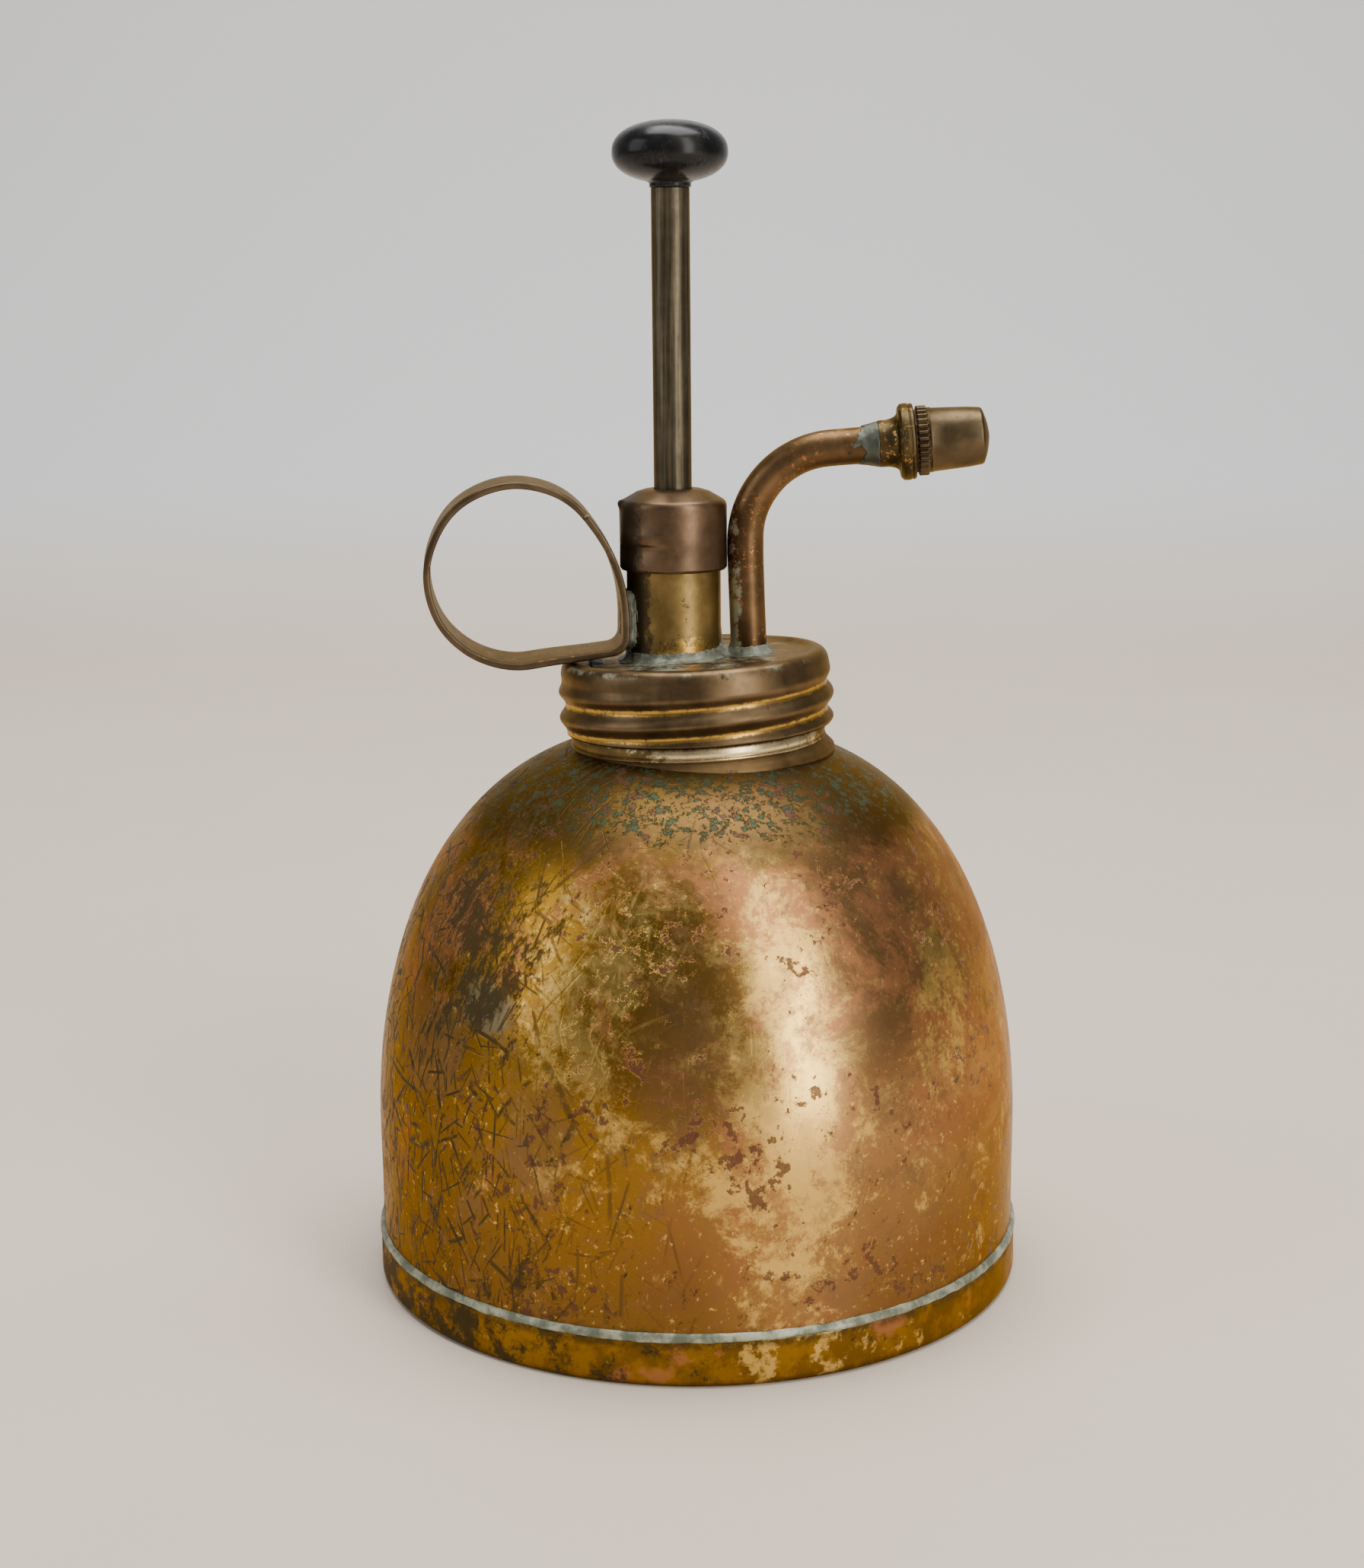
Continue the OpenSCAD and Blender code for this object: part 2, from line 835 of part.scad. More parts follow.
module piston_washer() {
    color("gold")
        at_pump()
            pipe(spring_seat_r, shank_r + face_gap, plate_z - leather_base
                 - piston_washer_t - 2 * gap, plate_z - leather_base - 2 * gap);
}

module piston_nut() {
    nut_top = plate_z - leather_base - piston_washer_t - 3 * gap;
    color("goldenrod")
        at_pump()
            difference() {
                translate([0, 0, nut_top - nut_t])
                    cylinder(r = nut_flats / 2 / cos(30), h = nut_t, $fn = 6);
                rod_piece(shank_r + face_gap, shank_z - over, nut_top + over);
            }
}

tank_shell();
base_pan();
base_solder();
neck_ring();
neck_solder();
cap_gasket();
screw_cap();
pump_barrel();
barrel_solder();
gland_cap();
gland_packing();
gland_washer();
finger_ring();
ring_solder();
spray_tube();
tube_solder();
nozzle_body();
nozzle_solder();
nozzle_washer();
nozzle_cap();
swirl_core();
foot_valve_body();
stop_pin();
suction_strainer();
inlet_ball();
outlet_ball();
return_spring();
spring_washer();
plunger_rod();
knob();
piston_plate();
cup_leather();
piston_washer();
piston_nut();
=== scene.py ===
"""Looks of the brass hand mister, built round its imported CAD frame.

Shapes are worked out in millimetres and turned into metres when a mesh is made.
"""

import json
import math

import bmesh
import bpy
import numpy as np
from mathutils import Matrix, Vector, noise


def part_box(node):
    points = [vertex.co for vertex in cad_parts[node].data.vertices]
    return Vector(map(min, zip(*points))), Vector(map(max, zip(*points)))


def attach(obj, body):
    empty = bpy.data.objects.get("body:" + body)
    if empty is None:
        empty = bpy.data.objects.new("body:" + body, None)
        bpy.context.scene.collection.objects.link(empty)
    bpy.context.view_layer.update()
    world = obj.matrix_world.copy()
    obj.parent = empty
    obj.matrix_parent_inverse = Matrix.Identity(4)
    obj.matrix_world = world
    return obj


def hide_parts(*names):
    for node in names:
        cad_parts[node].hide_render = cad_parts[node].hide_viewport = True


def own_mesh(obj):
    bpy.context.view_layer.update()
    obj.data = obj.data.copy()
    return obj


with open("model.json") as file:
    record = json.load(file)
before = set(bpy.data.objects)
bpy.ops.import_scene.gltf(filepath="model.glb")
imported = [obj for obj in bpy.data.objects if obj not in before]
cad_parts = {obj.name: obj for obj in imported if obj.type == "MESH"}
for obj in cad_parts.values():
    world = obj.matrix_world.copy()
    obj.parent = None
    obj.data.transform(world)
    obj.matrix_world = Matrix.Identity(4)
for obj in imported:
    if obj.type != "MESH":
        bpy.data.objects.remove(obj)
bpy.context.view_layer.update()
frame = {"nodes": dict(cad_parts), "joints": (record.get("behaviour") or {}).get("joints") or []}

MM = 0.001
TURN = 2 * math.pi


# ---------------------------------------------------------------- the frame

def joint_line(name):
    """A point on a joint's axis in mm, and the axis as a unit vector."""
    joint = next(j for j in frame["joints"] if j["name"] == name)
    return Vector(joint["pos_m"]) / MM, Vector(joint["axis"]).normalized()


def corners(node):
    """Lowest and highest corner of a CAD node, in mm."""
    low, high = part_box(node)
    return low / MM, high / MM


def reach(node, line):
    """Largest distance of a CAD node's vertices from a line, in mm."""
    point, axis = line
    places = (v.co / MM - point for v in frame["nodes"][node].data.vertices)
    return max((p - p.dot(axis) * axis).length for p in places)


def axis_frame(line):
    """Matrix that puts +Z on a line, with +X kept in the row's XZ plane."""
    point, axis = line
    side = Vector((0, 1, 0))
    across = side.cross(axis)
    turned = Matrix((across, side, axis)).transposed().to_4x4()
    return Matrix.Translation(point) @ turned


CAP_LINE = joint_line("cap_turn")
PUMP_LINE = joint_line("plunger_turn")
NOZZLE_LINE = joint_line("nozzle_turn")
TANK_LINE = (Vector((0, 0, 0)), Vector((0, 0, 1)))

CAP_FRAME = axis_frame(CAP_LINE)
NOZZLE_FRAME = axis_frame(NOZZLE_LINE)
PUMP_X = PUMP_LINE[0].x
PUMP_FRAME = Matrix.Translation((PUMP_X, 0, 0))

PAN_R = reach("base_pan", TANK_LINE)
PAN_TOP = corners("base_pan")[1].z
TANK_R = reach("tank_shell", TANK_LINE)
BARREL_R = reach("pump_barrel", PUMP_LINE)
GLAND_LOW, GLAND_HIGH = (c.z for c in corners("gland_cap"))
GLAND_R = reach("gland_cap", PUMP_LINE)
KNOB_LOW, KNOB_HIGH = (c.z for c in corners("knob"))
KNOB_R = reach("knob", PUMP_LINE)
ROD_R = reach("plunger_rod", PUMP_LINE)
FLANGE_R = reach("nozzle_body", NOZZLE_LINE)
KNURL_R = reach("nozzle_cap", NOZZLE_LINE)
TUBE_R = corners("spray_tube")[1].y
TUBE_X = corners("spray_tube")[0].x + TUBE_R


# ---------------------------------------------------------------- mesh tools

def link(name, data):
    """A new object in the scene."""
    piece = bpy.data.objects.new(name, data)
    bpy.context.scene.collection.objects.link(piece)
    return piece


def make_piece(node, kind, points, faces, body, slot, wear=None, look=None):
    """A smooth mesh from points in mm that stands for a CAD node and rides on a body."""
    name = f"{node}_{kind}"
    mesh = bpy.data.meshes.new(name)
    mesh.from_pydata([tuple(p) for p in np.asarray(points) * MM], [], faces)
    tidy = bmesh.new()
    tidy.from_mesh(mesh)
    bmesh.ops.recalc_face_normals(tidy, faces=tidy.faces)
    tidy.to_mesh(mesh)
    tidy.free()
    mesh.polygons.foreach_set("use_smooth", [True] * len(mesh.polygons))
    if wear is not None:
        layer = mesh.attributes.new("wear", "FLOAT", "POINT")
        shares = np.broadcast_to(wear, len(points))
        layer.data.foreach_set("value", np.array(shares, np.float32))
    piece = link(name, mesh)
    mesh.materials.append(LOOKS[look or slot])
    weighted = piece.modifiers.new("weighted_normals", "WEIGHTED_NORMAL")
    weighted.keep_sharp = True
    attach(piece, body)
    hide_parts(node)
    return piece


def turned(node, matrix, outline, steps, body, slot, soft=0.0, closed=True, shape=None,
           wear=None, kind="skin", look=None):
    """A piece turned round a matrix's Z axis, its corners rounded by soft.

    wear(angle, radius, height) is how rubbed it is, or one number for all of it.
    """
    if soft:
        outline = rounded(outline, soft, closed)
    points, faces = lathe(outline, steps, shape, closed)
    if callable(wear):
        wear = wear(np.arctan2(points[:, 1], points[:, 0]),
                    np.hypot(points[:, 0], points[:, 1]), points[:, 2])
    return make_piece(node, kind, placed(points, matrix), faces, body, slot, wear, look)


def placed(points, matrix):
    """Points moved by a matrix."""
    turned = np.array(matrix.to_3x3())
    return np.asarray(points) @ turned.T + np.array(matrix.translation)


def arc(centre, radius, start, end, steps=8):
    """Points on an arc, angles in degrees."""
    angles = np.radians(np.linspace(start, end, steps + 1))
    return [(centre[0] + radius * math.cos(a), centre[1] + radius * math.sin(a))
            for a in angles]


def rounded(outline, radius, closed=True, steps=4):
    """An outline with each clear corner replaced by a small arc."""
    flat_turn = math.radians(25)
    count = len(outline)
    made = []
    for i, here in enumerate(outline):
        if not closed and i in (0, count - 1):
            made.append(here)
            continue
        here = Vector(here)
        before = Vector(outline[i - 1]) - here
        after = Vector(outline[(i + 1) % count]) - here
        turn = math.pi - before.angle(after)
        if turn < flat_turn:
            made.append(tuple(here))
            continue
        cut = min(radius * math.tan(turn / 2), 0.45 * before.length, 0.45 * after.length)
        start = here + before.normalized() * cut
        end = here + after.normalized() * cut
        for k in range(steps + 1):
            t = k / steps
            made.append(tuple((1 - t) ** 2 * start + 2 * t * (1 - t) * here + t * t * end))
    return made


def lathe(outline, steps, shape=None, closed=True):
    """Points and faces of an outline turned round the Z axis.

    The outline is a list of (radius, height). A closed one makes a hollow ring; an
    open one starts and ends on the axis. shape(angle, radius, height) may move points.
    """
    angles = np.linspace(0, TURN, steps, endpoint=False)
    points, rows = [], []
    for radius, height in outline:
        if radius <= 0:
            rows.append([len(points)])
            points.append((0.0, 0.0, height))
            continue
        r = np.full(steps, float(radius))
        z = np.full(steps, float(height))
        if shape:
            r, z = shape(angles, r, z)
        rows.append(list(range(len(points), len(points) + steps)))
        points += list(zip(r * np.cos(angles), r * np.sin(angles), z))
    faces = []
    pairs = list(zip(rows, rows[1:] + ([rows[0]] if closed else [])))
    for low, high in pairs[:len(rows) if closed else len(rows) - 1]:
        faces += bridge(low, high)
    return np.array(points), faces


def bridge(low, high):
    """Faces between two rings of point numbers, either of which may be one point."""
    if len(low) == 1 and len(high) == 1:
        return []
    count = max(len(low), len(high))
    faces = []
    for i in range(count):
        j = (i + 1) % count
        if len(low) == 1:
            faces.append((low[0], high[j], high[i]))
        elif len(high) == 1:
            faces.append((low[i], low[j], high[0]))
        else:
            faces.append((low[i], low[j], high[j], high[i]))
    return faces


def sweep(centres, acrosses, sides, section):
    """A closed-ended or looped strip: a section of (across, side) swept along centres."""
    count = len(section)
    points = []
    for centre, across, side in zip(centres, acrosses, sides):
        points += [centre + a * across + b * side for a, b in section]
    rows = [list(range(i * count, (i + 1) * count)) for i in range(len(centres))]
    return np.array(points), rows


def ripple(place, size, seed):
    """Smooth noise from -1 to 1 at a place in mm; size is the length of its waves."""
    return noise.noise(Vector(place) / size + Vector((seed * 17.3, seed * 5.1, seed * 9.7)))


def waves(angles, radius, height, size, depth, seed):
    """Smooth noise in mm that closes on itself round a turned piece."""
    return depth * np.array([
        ripple((r * math.cos(a), r * math.sin(a), z), size, seed)
        for a, r, z in zip(angles, radius, height)])


def surface_net(values, low, cell):
    """Closed mesh of the zero surface of a grid of values, negative inside."""
    inside = values < 0
    shape = tuple(n - 1 for n in values.shape)
    total = np.zeros(shape + (3,))
    crossings = np.zeros(shape)
    for axis in range(3):
        others = [a for a in range(3) if a != axis]
        for step_a in (0, 1):
            for step_b in (0, 1):
                shift = [0, 0, 0]
                shift[others[0]], shift[others[1]] = step_a, step_b
                first = tuple(slice(s, s + n) for s, n in zip(shift, shape))
                shift[axis] = 1
                second = tuple(slice(s, s + n) for s, n in zip(shift, shape))
                change = inside[first] != inside[second]
                gap = values[first] - values[second]
                share = np.where(change, values[first] / np.where(change, gap, 1), 0)
                shift[axis] = 0
                for a in range(3):
                    total[..., a] += change * (shift[a] + (share if a == axis else 0))
                crossings += change
    active = crossings > 0
    numbers = np.full(shape, -1)
    numbers[active] = np.arange(active.sum())
    offset = total[active] / crossings[active][:, None]
    points = np.array(low) + cell * (np.argwhere(active) + offset)
    faces = []
    for axis in range(3):
        b, c = [a for a in range(3) if a != axis]
        forward = tuple(slice(1, None) if a == axis else slice(None) for a in range(3))
        backward = tuple(slice(None, -1) if a == axis else slice(None) for a in range(3))
        for place in np.argwhere(inside[forward] != inside[backward]):
            around = []
            for db, dc in ((-1, -1), (0, -1), (0, 0), (-1, 0)):
                cell_at = place.copy()
                cell_at[b] += db
                cell_at[c] += dc
                around.append(int(numbers[tuple(cell_at)]))
            faces.append(tuple(around))
    return points, faces


# ---------------------------------------------------------------- material tools

class Look:
    """A node material under construction; its places are in mm in the row frame."""

    def __init__(self, name):
        self.material = bpy.data.materials.new(name)
        self.material.use_nodes = True
        self.tree = self.material.node_tree
        self.tree.nodes.clear()
        output = self.tree.nodes.new("ShaderNodeOutputMaterial")
        self.shader = self.tree.nodes.new("ShaderNodeBsdfPrincipled")
        self.tree.links.new(self.shader.outputs[0], output.inputs[0])
        place = self.tree.nodes.new("ShaderNodeTexCoord").outputs["Object"]
        self.place = self.vector("MULTIPLY", place, (1 / MM,) * 3)

    def put(self, node, values):
        """Sets a node's inputs, or links them, by name or number."""
        for key, value in values.items():
            socket = node.inputs[key]
            if isinstance(value, bpy.types.NodeSocket):
                self.tree.links.new(value, socket)
            elif socket.type == "RGBA":
                socket.default_value = (*value, 1.0)
            else:
                socket.default_value = value

    def vector(self, operation, a, b=(0.0, 0.0, 0.0)):
        node = self.tree.nodes.new("ShaderNodeVectorMath")
        node.operation = operation
        self.put(node, {0: a, 1: b})
        return node.outputs[1 if operation in ("LENGTH", "DISTANCE", "DOT_PRODUCT") else 0]

    def math(self, operation, *values):
        """An operation on two values, or carried on through more."""
        total = values[0]
        for value in values[1:]:
            node = self.tree.nodes.new("ShaderNodeMath")
            node.operation = operation
            self.put(node, {0: total, 1: value})
            total = node.outputs[0]
        return total

    def add(self, *values):
        return self.math("ADD", *values)

    def minus(self, a, b):
        return self.math("SUBTRACT", a, b)

    def times(self, *values):
        return self.math("MULTIPLY", *values)

    def most(self, *values):
        return self.math("MAXIMUM", *values)

    def size_of(self, value):
        return self.math("ABSOLUTE", value, 0.0)

    def axes(self):
        """The place's x, y and z, in mm."""
        split = self.tree.nodes.new("ShaderNodeSeparateXYZ")
        self.put(split, {0: self.place})
        return tuple(split.outputs)

    def noise(self, size, detail=3.0, rough=0.55, shift=0.0, warp=0.0, place=None):
        """Noise from 0 to 1 whose blotches are about size mm wide."""
        node = self.tree.nodes.new("ShaderNodeTexNoise")
        moved = self.vector("ADD", place or self.place, (shift * 13.7, shift * 7.9, shift * 3.3))
        self.put(node, {"Vector": moved, "Scale": 1 / size, "Detail": detail,
                        "Roughness": rough, "Distortion": warp})
        return node.outputs[0]

    def turned(self, angles, scale):
        """The place turned by Euler angles in degrees and stretched."""
        node = self.tree.nodes.new("ShaderNodeMapping")
        node.vector_type = "TEXTURE"
        self.put(node, {"Vector": self.place, "Rotation": [math.radians(a) for a in angles],
                        "Scale": scale})
        return node.outputs[0]

    def band(self, value, low, high, out_low=0.0, out_high=1.0):
        """Smooth step: out_low below low, out_high above high."""
        node = self.tree.nodes.new("ShaderNodeMapRange")
        node.interpolation_type = "SMOOTHSTEP"
        self.put(node, {"Value": value, "From Min": low, "From Max": high,
                        "To Min": out_low, "To Max": out_high})
        return node.outputs[0]

    def mix(self, share, a, b):
        """Colour a changed into colour b by a share from 0 to 1."""
        node = self.tree.nodes.new("ShaderNodeMix")
        node.data_type = "RGBA"
        self.put(node, {0: share, 6: a, 7: b})
        return node.outputs[2]

    def attribute(self, name):
        node = self.tree.nodes.new("ShaderNodeAttribute")
        node.attribute_name = name
        return node.outputs["Fac"]

    def lines(self, angles, across, along, width, shift):
        """Thin long marks that run along a turned Z axis: 1 on a mark, 0 off it."""
        value = self.noise(1.0, detail=2.0, rough=0.5, shift=shift,
                           place=self.turned(angles, (across, across, along)))
        return self.band(self.size_of(self.minus(value, 0.5)), 0.0, width, 1.0, 0.0)

    def away(self, centre, size):
        """Distance from a place, counted in sizes along each axis."""
        scale = tuple(1 / v for v in size)
        scaled = self.vector("MULTIPLY", self.place, scale)
        return self.vector("DISTANCE", scaled, tuple(c * v for c, v in zip(centre, scale)))

    def patch(self, centre, size, outside, inside):
        """A soft hump: one value far from a place, another at it."""
        return self.band(self.away(centre, size), 0.25, 1.4, inside, outside)

    def raised(self, value, patches):
        """A value raised at places, each given as centre, size in mm and rise."""
        return self.add(value, *(self.patch(centre, size, 0.0, rise)
                                 for centre, size, rise in patches))

    def stain(self, centre, size, wobble, share):
        """A patch round a place whose edge is broken by noise."""
        edge = self.add(self.away(centre, size), self.times(wobble, 2.6))
        return self.band(edge, 0.70, 1.15, share, 0.0)

    def scratches(self, cell, half_length, half_width, upright, shift):
        """Straight marks of random direction, one in each cell of a Voronoi pattern."""
        node = self.tree.nodes.new("ShaderNodeTexVoronoi")
        place = self.vector("ADD", self.place, (shift, 2.3 * shift, 1.7 * shift))
        self.put(node, {"Vector": place, "Scale": 1 / cell, "Randomness": 1.0})
        offset = self.vector("SUBTRACT", place, node.outputs["Position"])
        heading = self.vector("SUBTRACT", node.outputs["Color"], (0.5, 0.5, 0.5))
        heading = self.vector("MULTIPLY", heading, (1.0, 1.0, upright))
        heading = self.vector("NORMALIZE", heading)
        off = self.size_of(self.vector("DOT_PRODUCT", offset, heading))
        line = self.band(off, 0.4 * half_width, half_width, 1.0, 0.0)
        ends = self.band(self.vector("LENGTH", offset), 0.6 * half_length, half_length, 1.0, 0.0)
        return self.times(line, ends)

    def finish(self, colour, rough, metal, height=None, depth=0.0, gloss=0.3,
               tint=(1.0, 1.0, 1.0)):
        """Sets the shader; depth is the relief in mm of a height from 0 to 1."""
        self.put(self.shader, {"Base Color": colour, "Roughness": rough, "Metallic": metal,
                               "Specular IOR Level": gloss, "Specular Tint": tint})
        if height is not None:
            bump = self.tree.nodes.new("ShaderNodeBump")
            self.put(bump, {"Strength": 1.0, "Distance": depth * MM, "Height": height})
            self.put(self.shader, {"Normal": bump.outputs[0]})
        return self.material


# ---------------------------------------------------------------- looks

GOLD = (0.36, 0.180, 0.018)
# deep gold painted as shade on the tank's left edge
LEFT_SHADE_GOLD = (0.155, 0.072, 0.004)
PAN_GOLD = tuple(0.72 * c for c in GOLD)
PAN_BROWN = (0.16, 0.080, 0.010)
BRONZE = (0.46, 0.240, 0.100)
# dark bronze painted as shade over the lower tank
LOW_SHADE_BRONZE = (0.150, 0.074, 0.018)
PALE_GOLD = (0.78, 0.51, 0.135)
COPPER = (0.42, 0.165, 0.070)
OLIVE = (0.17, 0.105, 0.012)
BROWN = (0.19, 0.110, 0.052)
CRUST = (0.035, 0.026, 0.010)
SPOT = (0.10, 0.038, 0.026)
SOOT = (0.060, 0.040, 0.014)
DARK = (0.018, 0.014, 0.010)
DEEP_GREEN = (0.030, 0.058, 0.032)
GREY_GREEN = (0.13, 0.145, 0.10)
SOLDER_PALE = (0.38, 0.39, 0.28)
SOLDER_DARK = (0.075, 0.080, 0.060)
EDGE_TINT = (0.85, 0.66, 0.42)

# Places on the tank: centre and size along each axis in mm, and how strong
TANK_STAINS = [((-1.0, -43.0, 41.0), (6.0, 12.0, 12.0), 0.42),
               ((-18.0, -38.0, 30.0), (5.0, 8.0, 8.0), 0.4),
               ((30.0, -28.0, 55.0), (8.0, 12.0, 6.0), 0.15),
               ((-33.0, -24.0, 38.0), (6.0, 12.0, 7.0), 0.6),
               ((24.0, -36.0, 42.0), (6.0, 10.0, 6.0), 0.2),
               ((20.0, 38.0, 40.0), (12.0, 12.0, 14.0), 0.6),
               ((-22.0, 34.0, 26.0), (10.0, 12.0, 9.0), 0.5)]
# Pale patches: the first, second and fourth are painted highlights where the lamps reflect, the
# third is wear
TANK_WEAR_AND_HIGHLIGHTS = [((13, -42, 36), (10, 20, 32), 0.13), ((-7, -40, 55), (11, 20, 9), 0.09),
             ((33, -28, 46), (7, 12, 12), 0.10), ((-13, -40, 42), (7, 14, 13), 0.10)]
TANK_FLECKED = [((34, -27, 48), (7, 14, 14), 0.08)]
TANK_BLUSHED = [((19, -33, 60), (15, 18, 8), 0.07)]
TANK_MOSSY = [((27, -30, 56), (9, 14, 7), 0.06)]
TANK_CRUSTED = [((-27, -29, 52), (10, 20, 14), 0.10)]
TANK_SPOTTED = [((13, -42, 34), (13, 20, 28), 0.035)]
# Scratches on the tank: spacing, half length, half width, uprightness, where they thin out
TANK_SCRATCHES = [(8.0, 6.0, 0.20, 0.45, 22), (7.0, 5.0, 0.17, 0.35, 14),
                  (5.0, 3.6, 0.16, 0.60, 4), (4.0, 3.0, 0.14, 0.80, 8),
                  (3.4, 2.6, 0.13, 0.45, 0), (2.8, 2.0, 0.12, 0.60, -6),
                  (4.5, 3.4, 0.13, 0.30, -12)]


def tank_ground(look, soft):
    """The tank's metal from gold on the left to bronze on the right, with painted shade on its left
    edge and towards the bottom, and how coppery it is.
    """
    x, _, z = look.axes()
    right = look.band(x, -14, 26)
    # painted shade: the gold is darkened towards the tank's left edge
    left_edge_shade = look.band(x, -36, -14, 1.0, 0.0)
    colour = look.mix(right, look.mix(left_edge_shade, GOLD, LEFT_SHADE_GOLD), BRONZE)
    colour = look.mix(look.band(soft, 0.38, 0.62, 0.25, 0.0), colour, OLIVE)
    upper_right = look.times(look.add(right, look.band(z, 40, 66)), 0.035)
    blush = look.add(look.noise(15, detail=10, rough=0.74, shift=7, warp=0.4), upper_right)
    copper = look.band(look.raised(blush, TANK_BLUSHED), 0.50, 0.62, 0.0, 0.7)
    colour = look.mix(copper, colour, COPPER)
    # painted shade: the tank is darkened towards the bottom, less where the key lamp's highlight
    # streak runs down the front right
    highlight_streak = look.patch((13, -42, 30), (10, 20, 40), 0.0, 1.0)
    low = look.times(look.band(z, 6, 44, 0.85, 0.0), look.minus(1.0, look.times(highlight_streak, 0.55)))
    return look.mix(low, colour, LOW_SHADE_BRONZE), copper


def tank_wear_and_highlights(look, colour):
    """The pale gold of rubbed areas and flecks, and painted highlights where the lamps reflect."""
    x, _, z = look.axes()
    worn = look.noise(8, detail=11, rough=0.82, shift=1, warp=0.25)
    # painted highlight: the pale gold is raised on the key lamp's streak and on two reflections to
    # its left
    worn = look.raised(worn, TANK_WEAR_AND_HIGHLIGHTS)
    worn = look.minus(worn, look.times(look.band(x, -36, -14, 1.0, 0.0), 0.08))
    worn = look.minus(worn, look.band(z, 4, 26, 0.03, 0.0))
    colour = look.mix(look.band(worn, 0.53, 0.64, 0.0, 0.72), colour, PALE_GOLD)
    flecks = look.raised(look.noise(0.9, detail=6, rough=0.7, shift=9), TANK_FLECKED)
    return look.mix(look.band(flecks, 0.60, 0.66, 0.0, 0.7), colour, PALE_GOLD)


def tank_marks(look, wobble):
    """How black the tank is: scratches, crust on the left, and grime at the foot."""
    x, _, z = look.axes()
    marks = look.most(*(
        look.times(look.band(x, -36, thin_at, 1.0, 0.0),
                   look.scratches(cell, half_length, half_width, upright, 3.7 * i))
        for i, (cell, half_length, half_width, upright, thin_at) in enumerate(TANK_SCRATCHES)))
    gaps = look.band(look.noise(3.0, detail=5, rough=0.7, shift=44), 0.36, 0.50)
    crust = look.noise(3.2, detail=10, rough=0.86, shift=31,
                       place=look.turned((0, 24, 0), (1, 1, 2.2)))
    crust = look.add(crust, look.times(look.band(x, -26, 10, 1.0, 0.0), 0.05))
    crust = look.band(look.raised(crust, TANK_CRUSTED), 0.60, 0.645, 0.0, 0.9)
    foot = look.band(look.add(z, look.times(wobble, 6)), 5.6, 7.6, 0.8, 0.0)
    return look.most(look.times(marks, gaps), crust, foot)


def tank_look():
    """Old brass: gold on one side, bronze and copper on the other, scuffed and scratched, with
    painted shade and painted highlights in its colour.
    """
    look = Look("tank_brass")
    _, _, z = look.axes()
    soft = look.noise(22, detail=3, rough=0.5, shift=2)
    fine = look.noise(1.6, detail=6, rough=0.75, shift=3)
    wobble = look.minus(look.noise(6, detail=11, rough=0.82, shift=4), 0.5)
    colour, copper = tank_ground(look, soft)
    colour = tank_wear_and_highlights(look, colour)

    dull = look.most(*(look.stain(centre, size, wobble, share)
                       for centre, size, share in TANK_STAINS))
    colour = look.mix(dull, colour, BROWN)
    mottle = look.band(look.noise(4.5, detail=11, rough=0.82, shift=12), 0.50, 0.58, 0.0, 0.6)
    mottle = look.times(mottle, look.band(soft, 0.42, 0.58, 1.0, 0.35))
    colour = look.mix(mottle, colour, BROWN)

    collar = look.band(look.add(z, look.times(wobble, 12)), 60, 65, 0.0, 0.85)
    colour = look.mix(collar, colour, SOOT)
    moss = look.noise(1.3, detail=8, rough=0.78, shift=21)
    moss = look.raised(look.add(moss, look.band(z, 61, 67, -0.15, 0.035)), TANK_MOSSY)
    moss = look.band(moss, 0.55, 0.59, 0.0, 0.85)
    colour = look.mix(moss, colour, DEEP_GREEN)
    bloom = look.stain((-25.0, -33.0, 45.0), (4.0, 6.0, 3.4), wobble, 0.55)
    colour = look.mix(bloom, colour, GREY_GREEN)

    spots = look.add(look.noise(2.0, detail=6, rough=0.68, shift=41),
                     look.band(look.noise(11, detail=3, shift=42), 0.42, 0.60, -0.09, 0.035))
    spots = look.band(look.raised(spots, TANK_SPOTTED), 0.595, 0.64, 0.0, 0.85)
    colour = look.mix(spots, colour, SPOT)
    dark = tank_marks(look, wobble)
    colour = look.mix(dark, colour, CRUST)

    tarnish = look.most(dull, mottle, collar, copper)
    rough = look.band(look.add(tarnish, look.times(fine, 0.5)), 0.1, 1.2, 0.25, 0.42)
    rough = look.add(rough, look.times(dark, 0.25))
    matt = look.most(dark, moss, spots)
    metal = look.band(matt, 0.0, 1.0, 1.0, 0.3)
    height = look.minus(look.times(fine, 0.3), matt)
    return look.finish(colour, rough, metal, height, depth=0.04, gloss=0.15, tint=EDGE_TINT)


